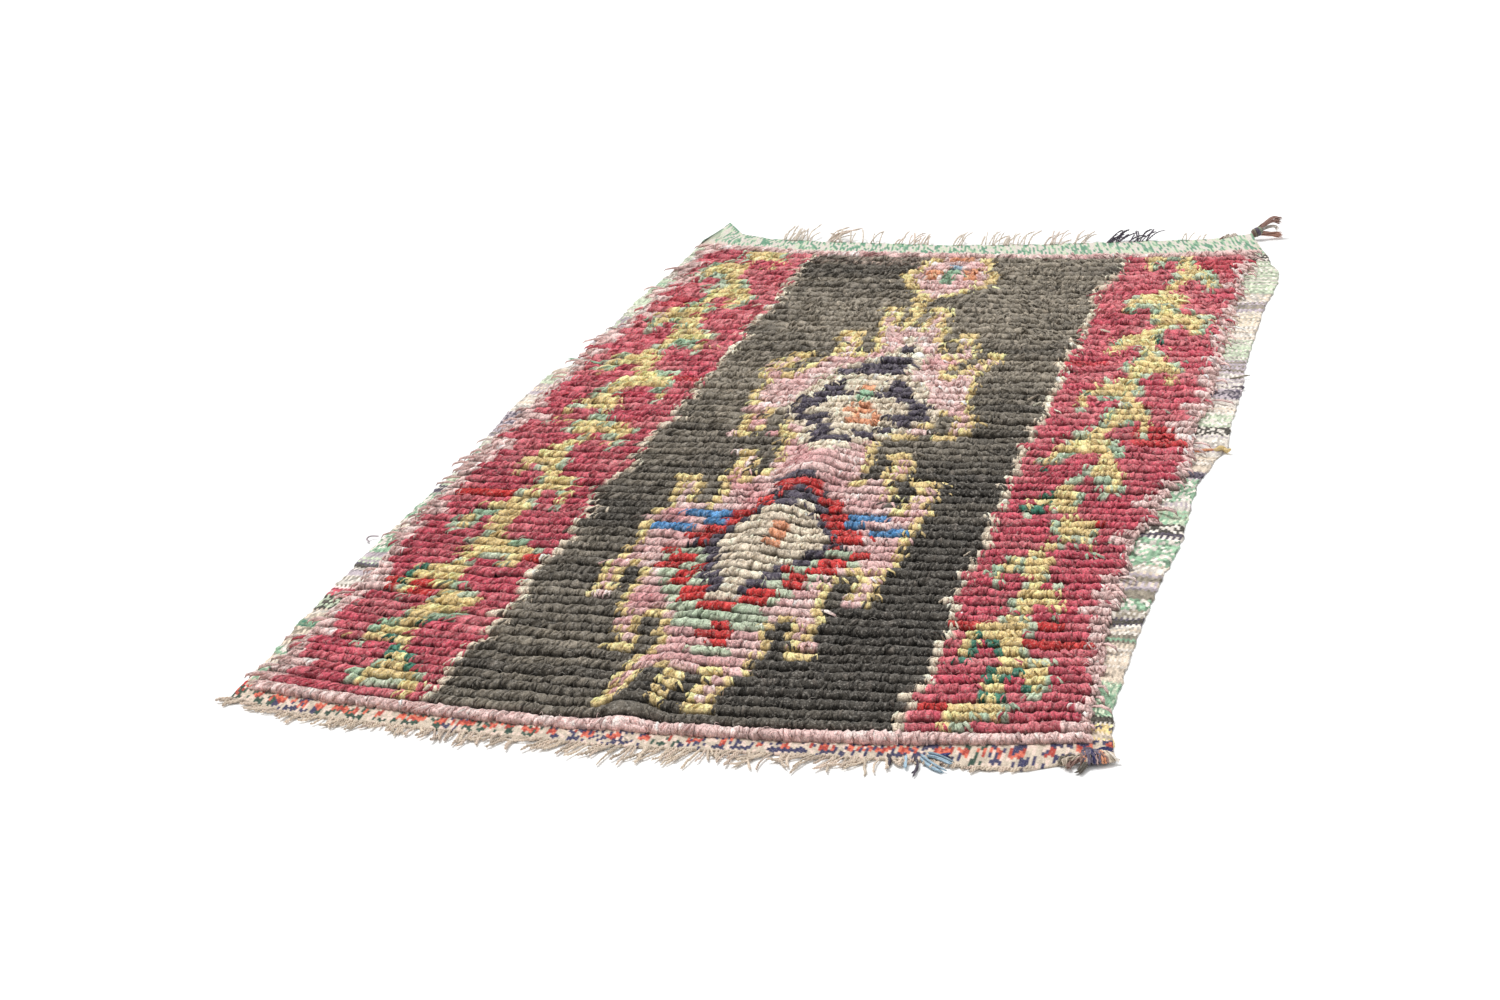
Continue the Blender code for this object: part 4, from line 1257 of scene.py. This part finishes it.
class RUG_OT_margins(bpy.types.Operator):
    """Weaves the flat sides, the speckled near end and the green far end"""

    bl_idname = "rug.margins"
    bl_label = "Flat-woven margins"

    def side(self, context, name, edge, column, bands, seed):
        """One flat-woven side, from under the pile to the edge, in bands of two dyes."""
        sizes, table, draw = kit(context, seed)
        start = along(PILE_ENDS, edge[0][1], 1) - PAST_ENDS[0]
        stop = along(PILE_ENDS, edge[0][1], 2) + PAST_ENDS[1]
        wefts = int((stop - start) / sizes.weft_pitch)
        b = np.arange(2 * wefts + 1)[:, None] / 2
        a = np.arange(2 * MARGIN_WARPS + 1)[None, :] / 2
        y = np.linspace(start, stop, 2 * wefts + 1)[:, None]
        outer = along(edge, y)
        inner = along(PILE_SIDES, y, column)
        inner = inner + SIDE_TUCK * np.sign(inner - outer)
        bulge = ripples(0 * y, y, (0.0012, 0.03, seed), (0.0005, 0.009, seed + 1))
        outer = outer + bulge * np.sign(outer - inner)
        x = inner + (outer - inner) * a / a.max()
        calm = np.clip(np.minimum(y - start, stop - y) / 0.02, 0, 1)
        y = y + 0.0030 * ripple(x, y, 0.07, seed + 2) * calm
        a, b = np.broadcast_arrays(a, b)
        warp, weft = bead_numbers(a, b)
        lengths, firsts, seconds, ways = zip(*bands)
        ends = np.cumsum(np.array(lengths) / 1000)
        band = np.searchsorted(ends, np.clip(weft * sizes.weft_pitch, 0, ends[-1] * 0.999))
        first = table[[NUMBER[name] for name in firsts]][band]
        second = table[[NUMBER[name] for name in seconds]][band]
        speckled = (np.array(ways) == "specks")[band]
        colour = bead_colours(warp, weft, first, second, speckled, draw)
        return slab(name, x, y, a, b, colour, sizes, seed + 3)

    def end(self, context, name, edge, column, overlap, pitch, seed, colour_of):
        """One flat-woven end, from under the pile to the edge."""
        sizes, table, _ = kit(context, seed)
        warps = int(CLOTH_WIDTH / sizes.warp_pitch)
        a = np.arange(2 * warps + 1)[:, None] / 2
        widest = abs(along(edge, -0.45) - along(PILE_ENDS, -0.45, column)) + 0.01
        wefts = int(widest / (pitch * sizes.weft_pitch))
        b = np.arange(2 * wefts + 1)[None, :] / 2
        u, v = a / warps, b / wefts
        y = along(edge, 0.0) + 0 * (u + v)
        for _ in range(5):
            x = along(LEFT_EDGE, y) * (1 - u) + along(RIGHT_EDGE, y) * u
            inner = along(PILE_ENDS, x, column)
            outer = along(edge, x)
            inner = inner + overlap * np.sign(inner - outer)
            y = inner + (outer - inner) * v
        a, b = np.broadcast_arrays(a, b)
        warp, weft = bead_numbers(a, b)
        colour = colour_of(dict(zip(DYES, table)), warp, weft, wefts, x)
        return slab(name, x, y, a, b, colour, sizes, seed)

    def near_colours(self, dyed, warp, weft, wefts, x):
        """Rows of the near end from the outer edge in: beige and pinkish wefts with blocks of dark
        rag near the edge and blocks of orange rag further in."""
        draw = np.random.default_rng(41)
        beads = draw.random((warp.max() + 3, weft.max() + 4))[warp + 1, weft + 1]
        from_edge = wefts - weft
        runs = np.cumsum(draw.integers(1, 7, (3, 300)), 1)
        block = [(np.searchsorted(run, warp) % 2) == 0 for run in runs]
        pinkish = dyed["beige"] * 0.6 + dyed["pink"] * 0.3
        colour = np.where((beads < 0.7)[..., None], dyed["beige"] * 0.88, pinkish)
        green = ripple(x, 0 * x, 0.3, 43) + 1.5 * (x < -0.25) - 0.6 > 0
        dark_green = dyed["teal"] * 0.25 + dyed["charcoal"] * 0.3
        dark_blue = dyed["navy"] * 0.40 + dyed["plum"] * 0.25
        dark = np.where(green[..., None], dark_green, dark_blue)
        bright = (0.10 + 0.22 * (beads > 0.45))[..., None]
        hot = dyed["scarlet"] * 0.58 + dyed["orange"] * bright
        for first, last, where, tint, share in (
            (1, wefts, beads > 0.86, dark, 1.1), (2, 4, block[0], dark, 0.80),
            (5, 8, block[1], hot, 0.80), (9, wefts, block[2], dark, 0.50),
        ):
            here = (from_edge >= first) & (from_edge <= last) & where & (beads < share)
            colour = np.where(here[..., None], tint, colour)
        return colour * (1 + 0.40 * (beads[..., None] - 0.5))

    def far_colours(self, dyed, warp, weft, wefts, x):
        """Green, cream and dark green specks, with a beige and pink inner part."""
        draw = np.random.default_rng(42)
        beads = draw.random((warp.max() + 3, weft.max() + 4))[warp + 1, weft + 1]
        colour = np.where((beads < 0.40)[..., None], dyed["bone"] * 0.95, dyed["mint"])
        colour[beads > 0.58] = dyed["leaf"] * 0.85
        colour[beads > 0.74] = dyed["teal"] * 0.55 + dyed["leaf"] * 0.30
        inner = weft < 0.30 * wefts
        colour[inner] = 0.3 * colour[inner] + 0.4 * dyed["beige"] + 0.25 * dyed["pink"]
        return colour * (1 + 0.25 * (beads[..., None] - 0.5))

    def execute(self, context):
        pieces = (
            self.side(context, "left_margin", LEFT_EDGE, 1, LEFT_BANDS, 201),
            self.side(context, "right_margin", RIGHT_EDGE, 2, RIGHT_BANDS, 211),
            self.end(context, "near_band", NEAR_BAND_EDGE, 1, 0.012, 1.0, 221, self.near_colours),
            self.end(context, "far_band", FAR_EDGE, 2, 0.014, 1.6, 231, self.far_colours),
        )
        for piece in pieces:
            finish_piece(piece, "Flat woven yarn", "rug_cloth")
        return {"FINISHED"}


def lay_cords(name, paths, radii, colours, pitch, seed, node):
    """Twisted cords of two plies that wind round each path."""
    phase = np.random.default_rng(seed).uniform(0, 2 * np.pi, len(paths))
    strands = plied(paths, radii, 2, 0.95, pitch, phase)
    piece = tubes(name, strands, np.tile(radii, (2, 1))[:, 1:-1], np.tile(colours, (2, 1, 1)), 4)
    finish_piece(piece, "Twisted cord", node)


class RUG_OT_near_fringe(bpy.types.Operator):
    """Lays the twisted warp cords of the near fringe on the floor"""

    bl_idname = "rug.near_fringe"
    bl_label = "Near fringe"

    def execute(self, context):
        sizes, table, draw = kit(context, 51)
        count = NEAR_CORDS
        x = np.linspace(*NEAR_FRINGE_SPAN, count) + draw.normal(0, 0.0020, count)
        length = along(NEAR_FRINGE, x) * draw.uniform(0.45, 1.12, count)
        length = length * (1 + 0.25 * ripple(x, 0 * x, 0.07, 55))
        slant = -0.40 + 0.30 * ripple(x, 0 * x, 0.25, 52) + draw.normal(0, 0.13, count)
        slant = slant - 0.85 * near(x, -0.56, 0.16) + 0.48 * ripple(x, 0 * x, 0.045, 56)
        bend = draw.normal(0, 0.28, count)
        t = np.linspace(0, 1, NEAR_CORD_POINTS)[None, :]
        reach = length[:, None] + 0.004
        turn = slant[:, None] + bend[:, None] * (t - 0.3)
        edge = along(NEAR_BAND_EDGE, x)[:, None] + ON_EDGE
        px = x[:, None] + reach * t * np.sin(turn)
        py = edge - reach * t * np.cos(turn)
        top = 0.0006 * np.clip(1 - t * 2.2, 0, 1) + 0.0020 * np.abs(ripple(px, py, 0.02, 53)) * t
        pz = lift(px, edge) * np.clip(1 - 2.5 * t, 0, 1) + top + 2.45 * sizes.cord_radius
        size = sizes.cord_radius * draw.uniform(0.85, 1.2, count)[:, None]
        radii = size * np.interp(t, (0, 0.85, 1), (1, 1, 0.7))
        colour = tinted(table, "beige", 0.95, count, NEAR_CORD_POINTS, draw)
        pinkish = table[NUMBER["pink"]] * 0.9
        colour = colour + (pinkish - colour) * (0.22 * draw.random((count, 1, 1)) ** 2)
        paths = np.stack([px, py, pz], 2)
        lay_cords("near_fringe_cords", paths, radii, colour, 0.010, 54, "near_fringe")
        return {"FINISHED"}


class RUG_OT_far_fringe(bpy.types.Operator):
    """Stands the loose warp tufts of the far fringe behind the far end"""

    bl_idname = "rug.far_fringe"
    bl_label = "Far fringe"

    def execute(self, context):
        sizes, table, draw = kit(context, 81)
        parts = []
        for middle, half, cords, name in FAR_TUFTS:
            x = middle + draw.uniform(-half, half, cords)
            length = along(FAR_FRINGE, x) * draw.uniform(0.45, 1.05, cords)
            slant = draw.normal(0.22, 0.15) + draw.normal(0, 0.20, cords)
            t = np.linspace(0, 1, FAR_CORD_POINTS)[None, :]
            reach = length[:, None] + UNDER_EDGE
            turn = slant[:, None] + draw.normal(0, 0.12, (cords, 1)) * t
            edge = along(FAR_EDGE, x)[:, None] - UNDER_EDGE
            px = x[:, None] + reach * t * np.sin(turn)
            py = edge + reach * t * np.cos(turn)
            rise = draw.uniform(0.12, 0.42, (cords, 1)) * reach * np.sin(0.62 * np.pi * t)
            rise = np.minimum(rise, 0.014 + 0.003 * t)
            pz = lift(px, np.minimum(py, edge)) * np.clip(1.3 - t, 0, 1) + 0.0033 + rise
            plum = name == "plum"
            second = "plum" if plum else "beige"
            mix = 0.10 + 0.35 * draw.random((cords, 1, 1)) + 0.4 * plum
            colour = mix * tinted(table, name, 1.0, cords, FAR_CORD_POINTS, draw)
            colour = colour + (1 - mix) * tinted(table, second, 1.0, cords, FAR_CORD_POINTS, draw)
            colour = colour + (table[NUMBER["bone"]] - colour) * 0.65 * (not plum)
            radius = draw.uniform(0.7, 1.2, (cords, 1)) * np.interp(t, (0, 0.8, 1), (1, 1, 0.6))
            parts.append((np.stack([px, py, pz], 2), sizes.cord_radius * radius, colour))
        lay_cords("far_fringe_cords", *joined(parts), 0.011, 83, "far_fringe")
        return {"FINISHED"}


def taper(count, radius, draw):
    """Radii of some yarns at their rings, thinner at the tip, each yarn with its own size."""
    size = radius * draw.uniform(0.82, 1.18, (count, 1))
    return size * np.interp(np.linspace(0, 1, YARN_POINTS - 2), (0, 0.8, 1), (1, 1, 0.6))


class RUG_OT_corner_tassel(bpy.types.Operator):
    """Ties the tassel of weft ends at the far right corner"""

    bl_idname = "rug.corner_tassel"
    bl_label = "Corner tassel"

    def execute(self, context):
        _, table, draw = kit(context, 101)
        knot, way = np.array(TASSEL_KNOT), np.array(TASSEL_WAY)
        way = way / np.linalg.norm(way)
        bark = table[NUMBER["bark"]] * 0.85
        root = np.linspace(1, 0, YARN_POINTS)[:, None]
        parts = []
        for name, yarns, radius, spread, points in TASSEL_STRANDS:
            points = np.array(points) / 1000
            paths = knot + yarns_round(points, yarns, spread / 1000, 0.5, YARN_POINTS, draw)
            colour = tinted(table, name, 1.15, yarns, YARN_POINTS, draw)
            if name == "orange":
                browner = tinted(table, "bark", 1.1, yarns, YARN_POINTS, draw)
                colour = 0.25 * colour + 0.9 * browner
            colour = colour * (1 - 0.75 * root) + bark * root * (name != "bone")
            parts.append((paths, taper(yarns, radius / 1000, draw), colour))
        wraps = sum(count for _, _, count in TASSEL_WRAPS)
        side = np.cross(way, (0.0, 0.0, 1.0))
        side = side / np.linalg.norm(side)
        above = np.cross(side, way)
        turn = np.linspace(0, 1.9 * np.pi, YARN_POINTS) + draw.uniform(0, 2 * np.pi, (wraps, 1))
        at = np.linspace(*KNOT_SPAN, wraps)[:, None] + 0.0011 * np.linspace(0, 1, YARN_POINTS)
        girth = WRAP_GIRTH - 20 * at**2
        paths = knot + at[..., None] * way + girth[..., None] * round_it(turn, side, above)
        colour = np.concatenate([tinted(table, *wrap, YARN_POINTS, draw) for wrap in TASSEL_WRAPS])
        parts.append((paths, taper(wraps, WRAP_RADIUS, draw), colour))
        heart = knot + np.linspace(-0.009, 0.010, YARN_POINTS)[None, :, None] * way
        radii = np.full((1, YARN_POINTS - 2), TASSEL_HEART)
        parts.append((heart, radii, tinted(table, "bark", 0.6, 1, YARN_POINTS, draw)))
        piece = tubes("corner_tassel_yarns", *joined(parts), 6)
        finish_piece(piece, "Twisted cord", "corner_tassel")
        return {"FINISHED"}


class RUG_OT_corner_bundle(bpy.types.Operator):
    """Coils the knotted bundle of weft ends at the near right corner"""

    bl_idname = "rug.corner_bundle"
    bl_label = "Corner bundle"

    def execute(self, context):
        _, table, draw = kit(context, 111)
        t = np.linspace(0, 1, YARN_POINTS)
        turn = np.pi * (0.02 + 0.96 * t)
        parts = []

        def coil(u, v, z, radius, name, shade):
            yarn = tinted(table, name, shade, 1, YARN_POINTS, draw)
            parts.append((np.stack([u, v, z], 1)[None], radius, yarn))

        for number, (name, shade, *measures) in enumerate(BUNDLE_COILS):
            radius, slant, depth, height = np.array(measures) / 1000
            for layer in (0.0, 1.0):
                u = BUNDLE_START + BUNDLE_STEP * number + 0.0010 * layer
                u = u + (slant + draw.normal(0, 0.002)) * (2 * t - 1)
                u = u + draw.normal(0, 0.0009, YARN_POINTS)
                v = -(depth - 0.0012 * layer) * np.cos(turn)
                z = (height - 0.0006 * layer) * np.sin(turn) ** 0.8 + 1.1 * radius
                coil(u, v, z, taper(1, radius * (1 - 0.20 * layer), draw), name, shade)
        for name, shade, *measures in CROSS_COILS:
            low, high, depth, height = np.array(measures) / 1000
            for layer in range(3):
                u = low + (high - low) * t + draw.normal(0, 0.0006, YARN_POINTS)
                v = depth - 0.0028 * layer + 0.0012 * np.sin(np.pi * t)
                z = height * (0.80 + 0.25 * np.sin(np.pi * t)) - 0.0004 * layer
                coil(u, v, z, taper(1, WRAP_RADIUS, draw), name, shade)
        u = np.linspace(*HEART_ENDS, YARN_POINTS)
        thick = along(HEART_RADIUS, np.linspace(0, 1, YARN_POINTS - 2))[None]
        coil(u, 0 * u, 0 * u + HEART_HEIGHT, thick, "plum", 0.6)
        paths, radii, colour = joined(parts)
        c, s = math.cos(BUNDLE_TURN), math.sin(BUNDLE_TURN)
        x = BUNDLE_MIDDLE[0] + c * paths[..., 0] - s * paths[..., 1]
        y = BUNDLE_MIDDLE[1] + s * paths[..., 0] + c * paths[..., 1]
        paths = np.stack([x, y, paths[..., 2]], 2)
        piece = tubes("corner_bundle_yarns", paths, radii, colour, 6)
        finish_piece(piece, "Twisted cord", "corner_bundle")
        return {"FINISHED"}


class RUG_OT_loose_ends(bpy.types.Operator):
    """Lays the loose yarn ends at the near fringe, the sides and the corners"""

    bl_idname = "rug.loose_ends"
    bl_label = "Loose ends"

    def execute(self, context):
        _, table, draw = kit(context, 121)
        parts = []
        for name, shade, yarns, turns, radius, spread, points in LOOSE_ENDS:
            points, radius, spread = np.array(points) / 1000, radius / 1000, spread / 1000
            paths = yarns_round(points, yarns, spread, turns, YARN_POINTS, draw)
            paths[..., 2] = np.maximum(paths[..., 2], 1.25 * radius)
            size = taper(yarns, radius, draw)
            parts.append((paths, size, tinted(table, name, shade, yarns, YARN_POINTS, draw)))
        piece = tubes("loose_yarn_ends", *joined(parts), 5)
        finish_piece(piece, "Twisted cord", "rug_cloth")
        return {"FINISHED"}


class RUG_OT_ground(bpy.types.Operator):
    bl_idname = "rug.ground"
    bl_label = "Ground weave"

    def execute(self, context):
        table = dye_table(context.scene.rug_dyes)
        u = np.linspace(0.004, 0.996, GROUND_PLACES[0])[None, :]
        v = np.linspace(0.002, 0.998, GROUND_PLACES[1])[:, None]
        x, y = (2 * u - 1) * 0.55 + 0 * v, (2 * v - 1) * 1.1 + 0 * u
        for _ in range(6):
            x = along(LEFT_EDGE, y) * (1 - u) + along(RIGHT_EDGE, y) * u
            y = along(NEAR_EDGE, x) * (1 - v) + along(FAR_EDGE, x) * v
        ground = lift(x, y)
        top = np.stack([x, y, ground + GROUND_LAYERS[0]], 2)
        under = np.stack([x, y, ground + GROUND_LAYERS[1]], 2)
        co = np.concatenate([top.reshape(-1, 3), under.reshape(-1, 3)])
        rows, columns = x.shape
        cell = (np.arange(rows - 1)[:, None] * columns + np.arange(columns - 1)[None, :]).ravel()
        up = np.stack([cell, cell + 1, cell + columns + 1, cell + columns], 1)
        down = up[:, ::-1] + rows * columns
        rim = np.concatenate([
            np.arange(columns - 1), np.arange(rows - 1) * columns + columns - 1,
            (rows - 1) * columns + np.arange(columns - 1, 0, -1), np.arange(rows - 1, 0, -1) * columns,
        ])
        after = np.roll(rim, -1)
        walls = np.stack([rim, rim + rows * columns, after + rows * columns, after], 1)
        loops = np.concatenate([up, down, walls]).ravel()
        starts = 4 * np.arange(len(loops) // 4)
        # Half-bright beige: painted shade on the foundation, which shows only deep between the locks of the
        # pile
        colour = np.tile(table[NUMBER["beige"]] * 0.5, (len(co), 1))
        piece = place(co, loops, starts, "ground_weave", colour, co[loops][:, :2])
        finish_piece(piece, "Flat woven yarn", "rug_cloth")
        return {"FINISHED"}


class RUG_OT_stage(bpy.types.Operator):
    """Sets the pale floor, the soft studio light and the camera"""

    bl_idname = "rug.stage"
    bl_label = "Stage"

    def execute(self, context):
        scene = context.scene
        mesh = bpy.data.meshes.new("floor")
        far, other = FLOOR_HALF, -FLOOR_HALF
        corners = [(other, other, 0), (far, other, 0), (far, far, 0), (other, far, 0)]
        mesh.from_pydata(corners, [], [(0, 1, 2, 3)])
        floor = bpy.data.objects.new("floor", mesh)
        scene.collection.objects.link(floor)
        material = bpy.data.materials.new("Pale floor")
        material.use_nodes = True
        fill(material.node_tree, material.node_tree.nodes["Principled BSDF"], {
            "Base Color": (0.93, 0.93, 0.925, 1), "Roughness": 0.9, "Specular IOR Level": 0.1,
        })
        mesh.materials.append(material)
        world = bpy.data.worlds.new("Soft room")
        world.use_nodes = True
        fill(world.node_tree, world.node_tree.nodes["Background"], {
            "Color": (1.0, 1.0, 1.0, 1), "Strength": 0.60,
        })
        scene.world = world
        for name, where, spread, power in LAMPS:
            lamp = bpy.data.lights.new(name, "SUN")
            lamp.angle = math.radians(spread)
            lamp.energy = power
            light = bpy.data.objects.new(name, lamp)
            light.location = where
            light.rotation_euler = (-Vector(where)).to_track_quat("-Z", "Y").to_euler()
            scene.collection.objects.link(light)
        lens = bpy.data.cameras.new("camera")
        lens.sensor_width = SENSOR_WIDTH
        lens.lens = FOCAL_LENGTH
        lens.clip_end = 100.0
        camera = bpy.data.objects.new("camera", lens)
        pose = Matrix.Translation(CAMERA_PLACE)
        for degrees, axis in CAMERA_TURNS:
            pose = pose @ Matrix.Rotation(math.radians(degrees), 4, axis)
        camera.matrix_world = pose
        scene.collection.objects.link(camera)
        scene.camera = camera
        scene.view_settings.view_transform = "Standard"
        return {"FINISHED"}


OPERATORS = (
    RUG_OT_ribs, RUG_OT_pile, RUG_OT_stray_fibres, RUG_OT_margins, RUG_OT_near_fringe,
    RUG_OT_far_fringe, RUG_OT_corner_tassel, RUG_OT_corner_bundle, RUG_OT_loose_ends, RUG_OT_ground,
    RUG_OT_stage,
)


class RUG_PT_panel(bpy.types.Panel):
    """Lists the steps that make the rug"""

    bl_idname = "RUG_PT_panel"
    bl_label = "Rag rug"
    bl_space_type = "VIEW_3D"
    bl_region_type = "UI"
    bl_category = "Rug"

    def draw(self, context):
        for step in OPERATORS:
            self.layout.operator(step.bl_idname)


CLASSES = (RugDyes, RugSizes, *OPERATORS, RUG_PT_panel)


def register():
    for entry in CLASSES:
        bpy.utils.register_class(entry)
    bpy.types.Scene.rug_dyes = bpy.props.PointerProperty(type=RugDyes)
    bpy.types.Scene.rug_sizes = bpy.props.PointerProperty(type=RugSizes)


def unregister():
    del bpy.types.Scene.rug_dyes
    del bpy.types.Scene.rug_sizes
    for entry in reversed(CLASSES):
        bpy.utils.unregister_class(entry)


def main():
    """Makes every piece in order."""
    register()
    for step in (
        bpy.ops.rug.stage, bpy.ops.rug.ribs, bpy.ops.rug.pile, bpy.ops.rug.stray_fibres,
        bpy.ops.rug.margins, bpy.ops.rug.near_fringe, bpy.ops.rug.far_fringe,
        bpy.ops.rug.corner_tassel, bpy.ops.rug.corner_bundle, bpy.ops.rug.loose_ends,
        bpy.ops.rug.ground,
    ):
        step()


if __name__ == "__main__":
    main()
